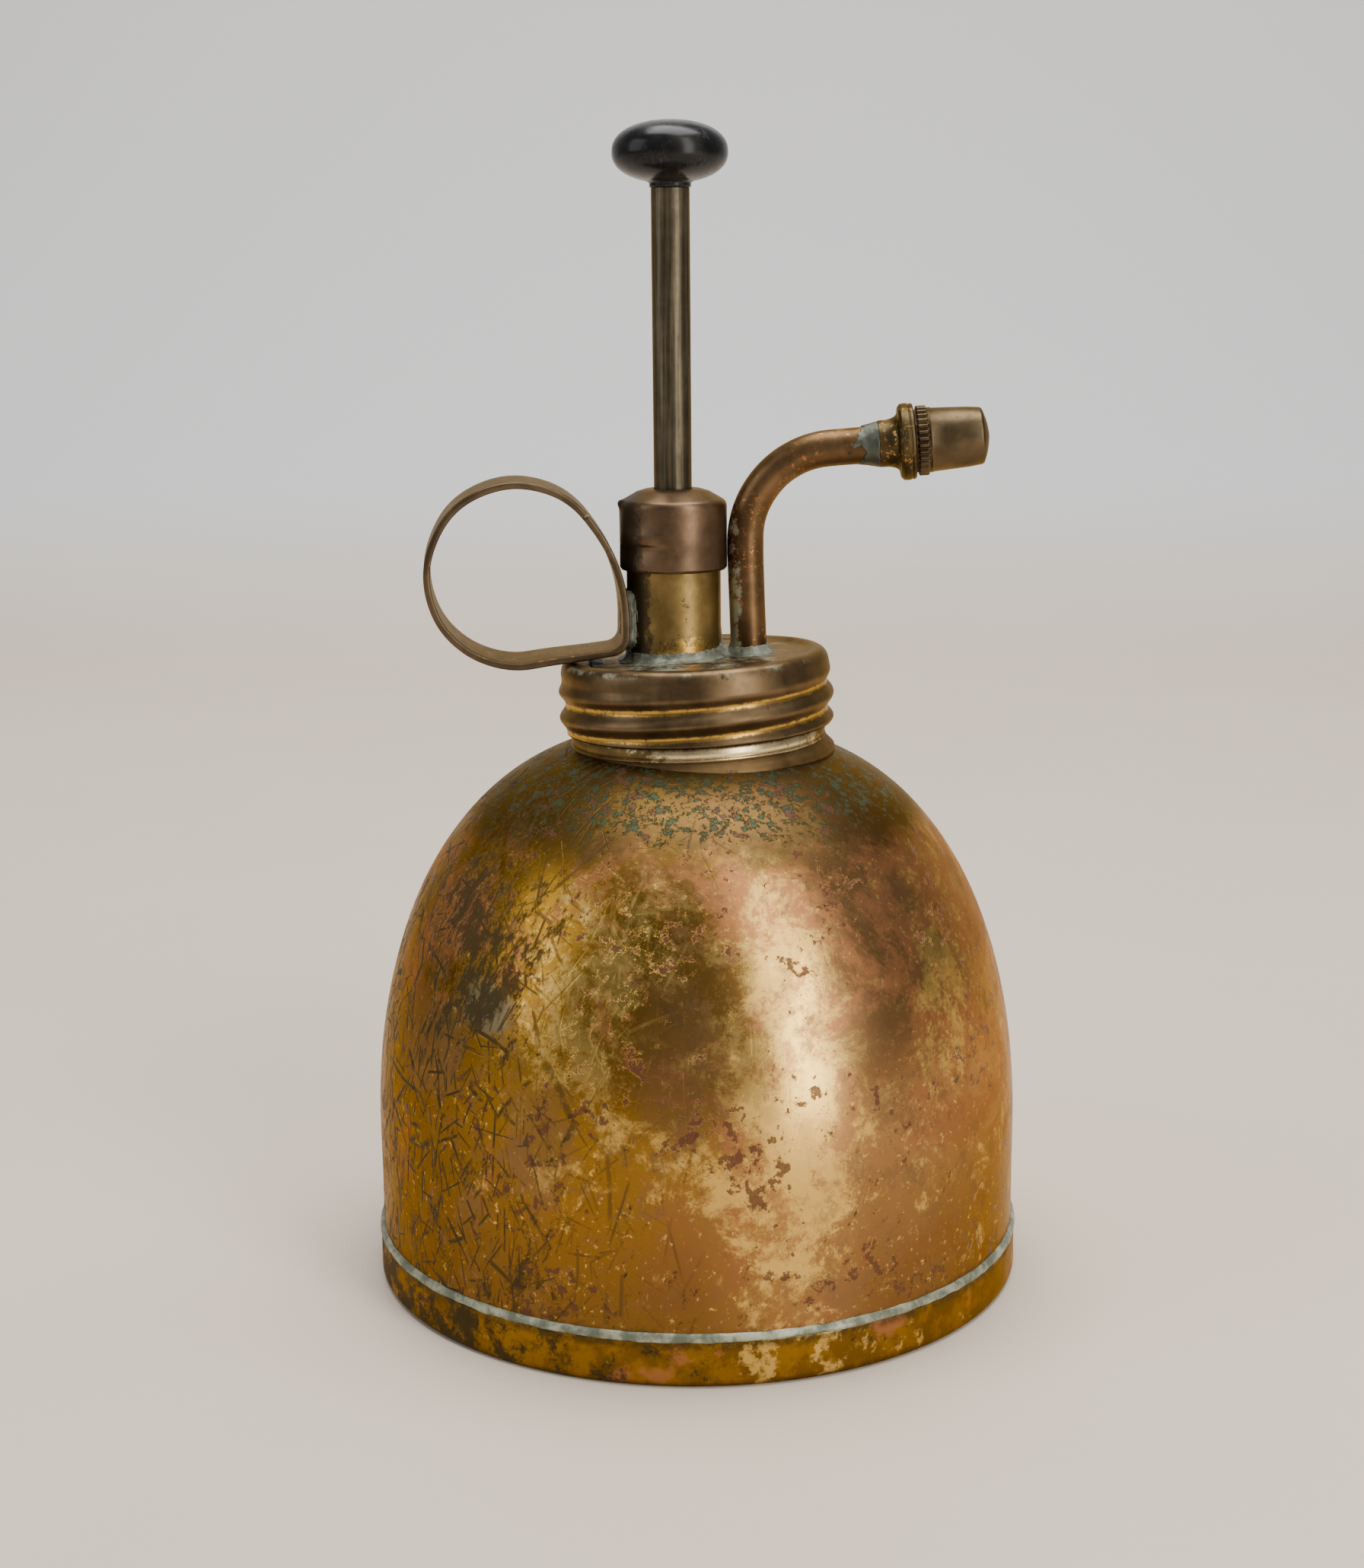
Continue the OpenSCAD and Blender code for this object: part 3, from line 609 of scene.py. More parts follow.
def pan_look():
    """The pan: dark and crusted on one side, worn golden on the other."""
    look = Look("pan_brass")
    x, _, z = look.axes()
    ragged = look.noise(6, detail=9, rough=0.72, shift=3)
    fine = look.noise(1.2, detail=5, rough=0.7, shift=5)
    colour = look.mix(look.band(ragged, 0.44, 0.58), PAN_BROWN, PAN_GOLD)
    worn = look.add(look.noise(4, detail=9, rough=0.75, shift=6),
                    look.patch((14, -42, 3), (11, 14, 6), 0.0, 0.12))
    colour = look.mix(look.band(worn, 0.60, 0.68, 0.0, 0.65), colour, PALE_GOLD)
    blush = look.band(look.noise(5, detail=6, shift=8), 0.58, 0.66, 0.0, 0.6)
    colour = look.mix(blush, colour, COPPER)
    grime = look.add(look.noise(4, detail=8, rough=0.78, shift=9),
                     look.band(x, -40, 10, 0.10, -0.05))
    grime = look.band(grime, 0.53, 0.62, 0.0, 0.9)
    edges = look.most(look.band(z, 0.0, 1.2, 0.8, 0.0), look.band(z, 4.6, 5.6, 0.0, 0.7))
    grime = look.most(grime, look.times(edges, look.band(fine, 0.3, 0.6)))
    colour = look.mix(grime, colour, CRUST)
    rough = look.band(grime, 0, 1, 0.34, 0.6)
    metal = look.band(grime, 0, 1, 1.0, 0.4)
    return look.finish(colour, rough, metal, look.minus(fine, grime), depth=0.03,
                       gloss=0.15, tint=EDGE_TINT)


def patina_look(name, body, worn, grime, green=0.0, wear_from=0.6, rough=0.42,
                speck_colour=None, streaks=0.0, film=None, left_shade=None):
    """Toned brass: body colour, worn metal where the wear attribute is high, grime and verdigris in
    blotches, optional bright specks, drawn streaks, a pale film, and painted shade, black down the
    left side, that fades out between two values of x."""
    look = Look(name)
    seed = len(name)
    cloud = look.noise(6, detail=4, rough=0.6, shift=seed)
    fine = look.noise(0.9, detail=5, rough=0.7, shift=seed + 1)
    colour = look.mix(look.band(cloud, 0.35, 0.65), tuple(0.72 * c for c in body),
                      tuple(1.25 * c for c in body))
    if streaks:
        drawn = look.noise(1.0, detail=3, shift=seed + 2,
                           place=look.turned((0, 0, 0), (0.35, 0.35, 14)))
        colour = look.mix(look.band(drawn, 0.40, 0.66, 0.0, streaks), colour, worn)
    ragged = look.minus(look.noise(1.6, detail=6, rough=0.75, shift=seed + 3), 0.5)
    bare = look.add(look.attribute("wear"), look.times(ragged, 1.1))
    bare = look.band(bare, wear_from, wear_from + 0.25)
    colour = look.mix(bare, colour, worn)
    if speck_colour:
        speck = look.noise(0.75, detail=4, rough=0.7, shift=seed + 4)
        area = look.noise(4.5, detail=3, shift=seed + 5)
        share = look.times(look.band(speck, 0.56, 0.63), look.band(area, 0.40, 0.62))
        colour = look.mix(share, colour, speck_colour)
        bare = look.most(bare, share)
    grime_and_shade = look.noise(2.4, detail=6, rough=0.75, shift=seed + 6)
    grime_and_shade = look.band(grime_and_shade, 0.66 - 0.16 * grime, 0.76 - 0.12 * grime)
    grime_and_shade = look.times(grime_and_shade, look.minus(1.0, bare))
    # painted shade: the left side is darkened to black, fading out between two values of x
    if left_shade:
        edge = look.minus(look.noise(1.8, detail=8, rough=0.78, shift=seed + 7), 0.5)
        edge = look.add(look.axes()[0], look.times(edge, 6.0))
        grime_and_shade = look.most(grime_and_shade, look.band(edge, *left_shade, 1.0, 0.0))
    colour = look.mix(look.times(grime_and_shade, 0.88), colour, DARK)
    metal = look.band(grime_and_shade, 0, 1, 0.92, 0.35)
    if green:
        moss = look.noise(2.0, detail=6, rough=0.75, shift=seed + 8)
        moss = look.band(moss, 0.68 - 0.2 * green, 0.78 - 0.16 * green)
        colour = look.mix(look.times(moss, 0.8), colour, GREY_GREEN)
        metal = look.times(metal, look.band(moss, 0, 1, 1.0, 0.3))
    if film:
        share = film(look)
        colour = look.mix(share, colour, SOLDER_PALE)
        metal = look.times(metal, look.band(share, 0, 1, 1.0, 0.4))
    shine = look.band(bare, 0, 1, rough, 0.27)
    shine = look.add(shine, look.times(look.minus(fine, 0.5), 0.25))
    height = look.minus(look.times(fine, 0.5), grime_and_shade)
    return look.finish(colour, shine, metal, height, depth=0.02, tint=EDGE_TINT)


def cap_film(look):
    """Grey-green glaze of old flux over the cap's roof, thickest round the pump."""
    point, axis = CAP_LINE
    offset = look.vector("SUBTRACT", look.place, tuple(point))
    height = look.vector("DOT_PRODUCT", offset, tuple(axis))
    on_roof = look.times(look.band(height, 11.2, 11.8), look.band(height, 12.0, 12.2, 1.0, 0.0))
    smear = look.add(look.noise(5, detail=9, rough=0.74, shift=14),
                     look.patch((-3, -3, 84), (15, 14, 9), -0.10, 0.08))
    return look.times(on_roof, look.band(smear, 0.46, 0.62, 0.0, 0.75))


def tube_film(look):
    """Grey-green tarnish up the side of the tube that faces the pump."""
    x, _, z = look.axes()
    smear = look.add(look.noise(2.2, detail=9, rough=0.78, shift=15),
                     look.band(x, TUBE_X - 1.6, TUBE_X + 0.4, 0.14, -0.14),
                     look.band(z, 86, 104, 0.06, -0.08))
    return look.band(smear, 0.54, 0.64, 0.0, 0.7)


def solder_look(name, pale, tarnish):
    """Smooth lead-grey solder, tarnished grey-green, with pale patches and dark pits."""
    look = Look(name)
    blotch = look.noise(3.0, detail=7, rough=0.68, shift=2)
    fine = look.noise(0.5, detail=4, rough=0.7, shift=4)
    colour = look.mix(look.band(blotch, 0.40, 0.64), tarnish, pale)
    pits = look.noise(1.3, detail=7, rough=0.75, shift=6)
    colour = look.mix(look.band(pits, 0.56, 0.68, 0.0, 0.6), colour, SOLDER_DARK)
    rough = look.band(blotch, 0.3, 0.7, 0.55, 0.40)
    return look.finish(colour, rough, 0.35, look.add(pits, fine), depth=0.02)


def knob_look():
    """Polished black with hair-fine scratches."""
    look = Look("knob_black")
    cloud = look.noise(4, detail=4, shift=1)
    colour = look.mix(look.band(cloud, 0.35, 0.7), (0.006, 0.006, 0.007), (0.016, 0.015, 0.014))
    marks = look.most(*(look.lines(turn, 0.8, 9.0, 0.012, 70 + i)
                        for i, turn in enumerate([(10, 20, 0), (-30, -35, 0), (60, 10, 0)])))
    marks = look.times(marks, look.band(look.noise(3, shift=9), 0.45, 0.6))
    colour = look.mix(look.times(marks, 0.25), colour, (0.12, 0.12, 0.12))
    rough = look.add(look.band(cloud, 0.3, 0.7, 0.18, 0.28), look.times(marks, 0.25))
    return look.finish(colour, rough, 0.0, marks, depth=0.004, gloss=0.2)


def leather_look():
    """Greased leather with a fine grain."""
    look = Look("leather")
    grain = look.noise(0.5, detail=5, rough=0.6, shift=3)
    colour = look.mix(look.band(grain, 0.35, 0.65), (0.06, 0.030, 0.016), (0.15, 0.08, 0.04))
    return look.finish(colour, look.band(grain, 0.3, 0.7, 0.7, 0.45), 0.0, grain, depth=0.05)


def fibre_look(name, dark, pale):
    """Pressed fibre or packed yarn."""
    look = Look(name)
    strand = look.noise(0.5, detail=5, shift=2, place=look.turned((20, 30, 0), (1, 1, 5)))
    colour = look.mix(look.band(strand, 0.35, 0.65), dark, pale)
    return look.finish(colour, 0.85, 0.0, strand, depth=0.06)


def bright_look(name, dark, pale, rough):
    """Clean metal that the water has only dulled."""
    look = Look(name)
    cloud = look.noise(3, detail=5, rough=0.65, shift=5)
    fine = look.noise(0.4, detail=4, shift=6)
    colour = look.mix(look.band(cloud, 0.35, 0.65), dark, pale)
    return look.finish(colour, look.band(fine, 0.3, 0.7, rough, rough + 0.15), 1.0,
                       fine, depth=0.01)


LOOKS = {
    "tank_brass": tank_look(),
    "pan_brass": pan_look(),
    # on the neck collar the pale worn colour is a painted highlight
    "neck_brass": patina_look("neck_brass", (0.16, 0.105, 0.038), (0.72, 0.58, 0.33), 0.5,
                              wear_from=0.42),
    "solder": solder_look("solder", SOLDER_PALE, GREY_GREEN),
    "cap_solder": solder_look("cap_solder", (0.25, 0.26, 0.20), (0.085, 0.090, 0.062)),
    "neck_solder": patina_look("neck_solder", (0.13, 0.080, 0.034), (0.24, 0.17, 0.07), 0.6,
                               green=0.35, rough=0.5),
    "leather": leather_look(),
    "cap_brass": patina_look("cap_brass", (0.125, 0.082, 0.042), (0.46, 0.27, 0.055), 0.3,
                             rough=0.40, film=cap_film),
    # the barrel and the gland carry painted shade down their left sides
    "barrel_brass": patina_look("barrel_brass", (0.22, 0.148, 0.052), (0.75, 0.48, 0.12), 0.5,
                                rough=0.38, left_shade=(PUMP_X - 3.6, PUMP_X - 2.6)),
    "gland_brass": patina_look("gland_brass", (0.13, 0.084, 0.050), (0.30, 0.18, 0.08), 0.3,
                               green=0.25, rough=0.40, left_shade=(PUMP_X - 5.0, PUMP_X - 3.6)),
    "nozzle_solder": patina_look("nozzle_solder", (0.12, 0.13, 0.105), (0.30, 0.32, 0.26), 0.5,
                                 rough=0.5),
    "packing": fibre_look("packing", (0.03, 0.025, 0.02), (0.12, 0.10, 0.08)),
    "inner_brass": bright_look("inner_brass", (0.32, 0.21, 0.08), (0.62, 0.43, 0.17), 0.35),
    "ring_brass": patina_look("ring_brass", (0.105, 0.074, 0.044), (0.26, 0.135, 0.050), 0.5,
                              green=0.3, rough=0.42),
    "tube_brass": patina_look("tube_brass", (0.125, 0.072, 0.033), (0.46, 0.24, 0.08), 0.45,
                              green=0.3, rough=0.42, speck_colour=(0.42, 0.17, 0.06),
                              film=tube_film),
    "nozzle_brass": patina_look("nozzle_brass", (0.075, 0.052, 0.024), (0.26, 0.16, 0.05), 0.7,
                                green=0.3, rough=0.42, speck_colour=(0.45, 0.26, 0.06)),
    "fibre": fibre_look("fibre", (0.03, 0.018, 0.012), (0.10, 0.055, 0.03)),
    "spray_brass": patina_look("spray_brass", (0.088, 0.062, 0.034), (0.22, 0.15, 0.075), 0.25,
                               green=0.2, rough=0.38),
    "ball_steel": bright_look("ball_steel", (0.5, 0.5, 0.5), (0.65, 0.65, 0.64), 0.15),
    "spring_bronze": bright_look("spring_bronze", (0.30, 0.15, 0.07), (0.55, 0.31, 0.15), 0.3),
    "rod_brass": patina_look("rod_brass", (0.080, 0.066, 0.045), (0.24, 0.195, 0.12), 0.1,
                             green=0.12, rough=0.42, streaks=0.35),
    "knob_black": knob_look(),
}


# ---------------------------------------------------------------- tank

SIDE_H = 19.8
DOME_H = 74.0
DOME_TOP_POWER = 2.156
DOME_SIDE_POWER = 2.659
TANK_WALL = 0.7
SHELL_TOP = 71.9     # where the shell would end if its hole were level
NECK_R = 16.7
COLLAR_R = 17.0
TANK_STEPS = 320
# Shallow dents in the tank: angle in degrees, height, radius and depth in mm
TANK_DENTS = [(-62, 44, 7, 0.16), (-118, 30, 9, 0.18), (-40, 15, 6, 0.12), (150, 50, 8, 0.25),
              (75, 26, 10, 0.3), (20, 38, 8, 0.2), (-95, 58, 6, 0.12)]


def dome_r(z, inset=0.0):
    """Radius of the tank at a height, moved in by inset."""
    rise = np.maximum(0, np.asarray(z) - SIDE_H) / (DOME_H - inset - SIDE_H)
    full = np.maximum(0, 1 - rise ** DOME_TOP_POWER) ** (1 / DOME_SIDE_POWER)
    return (TANK_R - inset) * full


def hole_height(angles):
    """Height at which the dome meets the leaning neck, at each angle round the tank."""
    point, axis = (np.array(v) for v in CAP_LINE)
    low, high = np.full(len(angles), 60.0), np.full(len(angles), DOME_H - 0.3)
    for _ in range(40):
        middle = (low + high) / 2
        r = dome_r(middle)
        place = np.stack([r * np.cos(angles), r * np.sin(angles), middle], axis=1) - point
        across = place - (place @ axis)[:, None] * axis
        outside = np.linalg.norm(across, axis=1) > NECK_R
        low, high = np.where(outside, middle, low), np.where(outside, high, middle)
    return low


def tank_shape(angles, r, z):
    """Rolls the tank's skin gently, and ends it at the neck."""
    settle_z = 60.0
    inset = np.clip(dome_r(z) - r, 0, TANK_WALL)
    reach_up = np.clip((z - settle_z) / (SHELL_TOP - settle_z), 0, 1)
    z = z + reach_up * (hole_height(angles) - SHELL_TOP)
    r = dome_r(z) - inset * np.minimum(1, dome_r(z) / TANK_R)
    free = np.clip((z - 6.5) / 8, 0, 1) * (1 - reach_up)
    r = r + free * (waves(angles, r, z, 21, 0.16, 3) + waves(angles, r, z, 7, 0.035, 5))
    for at, height, radius, depth in TANK_DENTS:
        away = np.hypot((np.angle(np.exp(1j * (angles - math.radians(at))))) * r, z - height)
        r = r - depth * np.exp(-(away / radius) ** 2 * 2)
    return r, z


def tank_shell():
    low = corners("tank_shell")[0].z
    rise = [SIDE_H + (SHELL_TOP - SIDE_H) * math.sin(math.radians(a)) for a in range(2, 91, 2)]
    heights = list(np.linspace(low, SIDE_H, 12)) + rise
    outer = [(float(dome_r(z)), z) for z in heights]
    inner = [(float(dome_r(z)) - TANK_WALL, z) for z in reversed(heights)]
    turned("tank_shell", Matrix.Identity(4), outer + inner, TANK_STEPS, "tank", "tank_brass",
           shape=tank_shape)


def base_pan():
    floor, corner, wall = 0.6, 1.1, 0.45
    outline = ([(0, 0.0), (8, 0.0), (24, 0.0)]
               + arc((PAN_R - corner, corner), corner, -90, 0)
               + [(PAN_R, z) for z in (2, 3, 4, 5)]
               + [(PAN_R, PAN_TOP), (PAN_R - wall, PAN_TOP), (PAN_R - wall, floor + 0.4),
                  (PAN_R - wall - 0.4, floor), (24, floor), (0, floor)])

    def shape(angles, r, z):
        side = np.clip(z / 2.5, 0, 1) * (r > PAN_R - 1.2)
        return r + side * (waves(angles, r, z, 9, 0.07, 11) - 0.04), z

    turned("base_pan", Matrix.Identity(4), outline, TANK_STEPS, "tank", "pan_brass",
           soft=0.12, closed=False, shape=shape)


def bead(node, matrix, outline, steps, size, depth, seed, look="solder"):
    """A lumpy ring of solder on the tank with the given outline."""
    middle = np.mean(np.array(outline), axis=0)

    def shape(angles, r, z):
        lump = 1 + waves(angles, r, z, size, depth, seed)
        lump = lump + waves(angles, r, z, size / 3, depth / 2, seed + 1)
        return middle[0] + (r - middle[0]) * lump, middle[1] + (z - middle[1]) * lump

    turned(node, matrix, outline, steps, "tank", "solder", shape=shape, kind="bead", look=look)


def base_solder():
    centre = (TANK_R - 0.05, PAN_TOP - 0.05)
    outline = [centre, (PAN_R - 0.1, PAN_TOP - 0.08)] + [
        (centre[0] + 0.62 * math.cos(a), centre[1] + 1.05 * math.sin(a))
        for a in np.radians(np.linspace(8, 82, 7))] + [(centre[0], PAN_TOP + 1.05)]
    bead("base_solder", Matrix.Identity(4), outline, 720, 2.6, 0.20, 13)


# ---------------------------------------------------------------- neck and cap

CAP_SKIRT = 2.55
CAP_H = 12.4
CAP_R = 17.95
CAP_RIM_R = 16.2
CAP_DISH_R = 15.3
CAP_DISH = 0.5
CAP_SHOULDER_Z = 9.9
CAP_SHEET = 0.6
THREAD_PITCH = 3.6
THREAD_DEPTH = 0.45
THREAD_START = 2.8
THREAD_STEPS = 256


def rib(angles, z):
    """The rolled thread: 1 on its rib, -1 in its groove, right-handed."""
    return np.cos(TURN * (z - THREAD_START) / THREAD_PITCH - angles)


def cap_shape(angles, r, z):
    """Rolls the thread into the cap's side and draws its lip in."""
    side = np.clip((r - CAP_DISH_R) / 1.4, 0, 1)
    fade_up = np.clip((CAP_SHOULDER_Z + 0.4 - z) / 2.4, 0, 1)
    lip = np.clip((CAP_SKIRT + 0.8 - z) / 0.8, 0, 1)
    r = r + side * (THREAD_DEPTH * fade_up * (1 - 0.5 * lip) * rib(angles, z) - 0.25 * lip ** 2)
    top = np.clip((z - CAP_SHOULDER_Z) / 1.5, 0, 1)
    z = z + top * waves(angles, r, z, 8, 0.10, 21)
    return r + side * waves(angles, r, z, 10, 0.06, 23), z


def cap_outline():
    """The cap's sheet from the middle of its roof out, down inside, and back up outside."""
    roof = CAP_H - CAP_DISH
    side = np.linspace(CAP_SKIRT, CAP_SHOULDER_Z, 30)
    bends = np.radians(range(10, 91, 10))
    outer = [(CAP_R, z) for z in side]
    outer += [(CAP_RIM_R + (CAP_R - CAP_RIM_R) * math.cos(a) ** 0.8,
               CAP_SHOULDER_Z + (CAP_H - CAP_SHOULDER_Z) * math.sin(a) ** 0.8) for a in bends]
    outer += [(CAP_DISH_R + 0.5, CAP_H - 0.12), (CAP_DISH_R + 0.1, roof + 0.1),
              (CAP_DISH_R - 0.4, roof)]
    outer += [(r, roof) for r in (12, 9, 6, 3, 0)]
    wall_r, ceiling = CAP_R - CAP_SHEET, roof - CAP_SHEET
    inner = [(wall_r, z) for z in side]
    inner += [(CAP_RIM_R + (wall_r - CAP_RIM_R) * math.cos(a),
               CAP_SHOULDER_Z + (ceiling - CAP_SHOULDER_Z) * math.sin(a)) for a in bends]
    inner += [(r, ceiling) for r in (12, 9, 6, 3, 0)]
    return inner[::-1] + outer


def screw_cap():
    def wear(angles, r, z):
        on_side = np.clip((CAP_SHOULDER_Z - z) / 1.5, 0, 1)
        groove = (np.clip(-rib(angles, z), 0, 1) * on_side
                  * np.clip((r - CAP_DISH_R) / 2, 0, 1))
        lip = np.clip((CAP_SKIRT + 0.9 - z) / 0.5, 0, 1)
        front_left = np.clip(np.cos(angles - math.radians(-160)), 0, 1)
        return np.maximum.reduce([0.85 * groove, 0.5 * front_left ** 3 * on_side, 0.35 * lip])

    cap = turned("screw_cap", CAP_FRAME, cap_outline(), THREAD_STEPS, "head", "cap_brass",
                 closed=False, shape=cap_shape, wear=wear)
    for x, radius in ((PUMP_X, BARREL_R), (TUBE_X + TUBE_LEAN, TUBE_R)):
        pierce(cap, x, radius + 0.05)


def pierce(piece, x, radius):
    """Cuts an upright round hole through a piece at x."""
    top = corners("screw_cap")[1].z
    cutter = bpy.data.meshes.new("cutter")
    points, faces = lathe([(0, top - 5), (radius, top - 5), (radius, top + 1), (0, top + 1)],
                          96, closed=False)
    points = points + np.array((x, 0, 0))
    cutter.from_pydata([tuple(p) for p in points * MM], [], faces)
    tool = link("cutter", cutter)
    cut = piece.modifiers.new("hole", "BOOLEAN")
    cut.operation = "DIFFERENCE"
    cut.solver = "EXACT"
    cut.object = tool
    bpy.context.view_layer.objects.active = piece
    bpy.ops.object.modifier_move_to_index(modifier="hole", index=0)
    bpy.ops.object.modifier_apply(modifier="hole")
    bpy.data.objects.remove(tool)


def neck_ring():
    bore, lip_bore, lip_t, skirt = 15.9, 13.8, 0.8, 2.5
    collar_low, collar_top = -1.3, 2.35
    top = corners_along(CAP_LINE, "neck_ring")[1]
    thread_r = CAP_R - CAP_SHEET - 0.2
    outline = [(NECK_R, -skirt), (NECK_R, collar_low), (COLLAR_R - 0.1, collar_low),
               (COLLAR_R, 0.5), (COLLAR_R + 0.12, 0.75), (COLLAR_R - 0.02, 0.95),
               (COLLAR_R - 0.14, 1.05), (COLLAR_R - 0.02, 1.15), (COLLAR_R + 0.03, 1.5),
               (COLLAR_R - 0.05, 1.95), (COLLAR_R - 0.2, collar_top), (NECK_R, collar_top)]
    outline += [(NECK_R, z) for z in np.linspace(collar_top + 0.3, top - 0.4, 28)]
    outline += [(NECK_R - 0.1, top), (lip_bore, top), (lip_bore, top - lip_t),
                (bore, top - lip_t), (bore, -skirt)]

    def shape(angles, r, z):
        side = np.clip((r - bore - 0.3) / 0.3, 0, 1)
        threaded = (side * np.clip((z - collar_top - 0.2) / 1.0, 0, 1)
                    * np.clip((top - 0.2 - z) / 1.5, 0, 1))
        r = r + threaded * (thread_r - NECK_R + (THREAD_DEPTH - 0.1) * rib(angles, z) - 0.05)
        return r, z

    def wear(angles, r, z):
        # painted highlight: the collar's wear is raised where the key lamp reflects, at the front
        # right
        bright = np.clip(np.cos(angles - math.radians(-68)), 0, 1) ** 2
        return np.where(z > collar_top - 0.1, 0.5, 0.15 + 0.65 * bright)

    turned("neck_ring", CAP_FRAME, outline, THREAD_STEPS, "tank", "neck_brass", soft=0.06,
           shape=shape, wear=wear)


def corners_along(line, node):
    """Lowest and highest place of a CAD node along a line, in mm."""
    point, axis = line
    along = [(v.co / MM - point).dot(axis) for v in frame["nodes"][node].data.vertices]
    return min(along), max(along)


def neck_solder():
    outline = [(COLLAR_R - 0.3, 0.7), (COLLAR_R + 0.05, 0.65), (COLLAR_R + 0.25, 0.25),
               (COLLAR_R + 0.7, -0.2), (COLLAR_R + 1.2, -0.75), (COLLAR_R + 1.3, -1.6),
               (COLLAR_R - 0.3, -1.6)]
    bead("neck_solder", CAP_FRAME, outline, 360, 5.0, 0.10, 17, look="neck_solder")


# ---------------------------------------------------------------- pump

def pump_barrel():
    low, high = (c.z for c in corners("pump_barrel"))
    wall = 0.6
    rows = list(np.linspace(low, high, 40))
    outline = [(BARREL_R, z) for z in rows] + [(BARREL_R - wall, z) for z in reversed(rows)]

    def wear(angles, r, z):
        foot = np.clip((89.5 - z) / 3.5, 0, 1) * np.clip((z - 83) / 1.5, 0, 1)
        return 0.9 * foot * np.clip(np.cos(angles - math.radians(-70)), 0, 1) ** 2

    turned("pump_barrel", PUMP_FRAME, outline, 128, "head", "barrel_brass", soft=0.15,
           wear=wear)


def gland_cap():
    shoulder_z, round_r, flat_r = 104.9, 1.1, 3.6
    bore_r = BARREL_R + 0.05
    roof = 104.1
    side = [(GLAND_R, z) for z in np.linspace(GLAND_LOW + 0.35, shoulder_z - round_r, 40)]
    outline = ([(bore_r, GLAND_LOW), (GLAND_R - 0.25, GLAND_LOW)] + side
               + arc((GLAND_R - round_r, shoulder_z - round_r), round_r, 6, 66)
               + [(flat_r + 1.2, GLAND_HIGH - 0.35), (flat_r, GLAND_HIGH),
                  (ROD_R + 0.08, GLAND_HIGH), (ROD_R + 0.08, roof), (bore_r, roof)])
    step_z, dent_at = 99.3, math.radians(-133)
    blob_z, blob_at = 104.7, math.radians(-168)

    def shape(angles, r, z):
        outside = np.clip((r - bore_r) / 0.3, 0, 1)
        off = np.angle(np.exp(1j * (angles - dent_at)))
        across = np.exp(-(off / 0.55) ** 4)
        below = np.clip((step_z - z) / 0.5, 0, 1) * np.clip((z - GLAND_LOW) / 3.0, 0.35, 1)
        above = np.exp(-((z - step_z - 0.9) / 0.8) ** 2)
        r = r + outside * across * (0.16 * above - 0.42 * below)
        blob = np.hypot(np.angle(np.exp(1j * (angles - blob_at))) * GLAND_R, z - blob_z)
        r = r + outside * 0.5 * np.exp(-(blob / 0.9) ** 2)
        return r + outside * waves(angles, r, z, 5, 0.05, 31), z

    def wear(angles, r, z):
        return 0.3 * np.clip(GLAND_LOW + 1.0 - z, 0, 1)

    turned("gland_cap", PUMP_FRAME, outline, 192, "head", "gland_brass", soft=0.15,
           shape=shape, wear=wear)


def plunger_rod():
    low, high = (c.z for c in corners("plunger_rod"))
    shank_r, stud_r, shoulder = 1.5, 1.6, 98.35
    outline = [(0, low), (shank_r, low), (shank_r, shoulder), (ROD_R, shoulder)]
    outline += [(ROD_R, z) for z in np.linspace(shoulder + 1, KNOB_LOW - 0.5, 30)]
    outline += [(ROD_R, KNOB_LOW), (stud_r, KNOB_LOW), (stud_r, high), (0, high)]
    turned("plunger_rod", PUMP_FRAME, outline, 96, "plunger", "rod_brass", soft=0.12,
           closed=False, wear=0.12)


def knob():
    neck_r, neck_h, fullness = 2.7, 0.6, 2.25
    widest = KNOB_LOW + 4.4
    bore_r, bore_top = 1.61, corners("plunger_rod")[1].z + 0.05
    outline = [(0, bore_top), (bore_r, bore_top), (bore_r, KNOB_LOW + 0.01),
               (neck_r, KNOB_LOW + 0.01), (neck_r, KNOB_LOW + neck_h)]
    for a in np.radians(np.arange(-68, 89, 3)):
        rise = KNOB_HIGH - widest if a > 0 else widest - KNOB_LOW - neck_h
        r = KNOB_R * abs(math.cos(a)) ** (2 / fullness)
        z = widest + rise * math.copysign(abs(math.sin(a)) ** (2 / fullness), a)
        outline.append((r, z))
    outline.append((0, KNOB_HIGH))
    turned("knob", PUMP_FRAME, outline, 128, "plunger", "knob_black", soft=0.2, closed=False)


def return_spring():
    low, high = corners("return_spring")
    wire_r, mean_r, turns, steps = 0.4, 4.2, 17, 40
    bottom, top = low.z + wire_r, high.z - wire_r
    closed = 2.2 * wire_r
    lead = (top - bottom - 2 * closed) / (turns - 2)
    centres, outs, ups = [], [], []
    for i in range(turns * steps + 1):
        t = i / steps
        z = (bottom + closed * t if t < 1
             else top - closed * (turns - t) if t > turns - 1
             else bottom + closed + lead * (t - 1))
        out = np.array((math.cos(TURN * t), math.sin(TURN * t), 0))
        centres.append(mean_r * out + (0, 0, z))
        outs.append(out)
        ups.append(np.array((0, 0, 1)))
    section = [(wire_r * math.cos(a), wire_r * math.sin(a))
               for a in np.linspace(0, TURN, 10, endpoint=False)]
    points, rows = sweep(centres, outs, ups, section)
    faces = [f for a, b in zip(rows, rows[1:]) for f in bridge(a, b)]
    faces += [tuple(reversed(rows[0])), tuple(rows[-1])]
    spring = make_piece("return_spring", "coil", placed(points, PUMP_FRAME), faces, "head",
                        "spring_bronze")
    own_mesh(spring)


# ---------------------------------------------------------------- finger ring

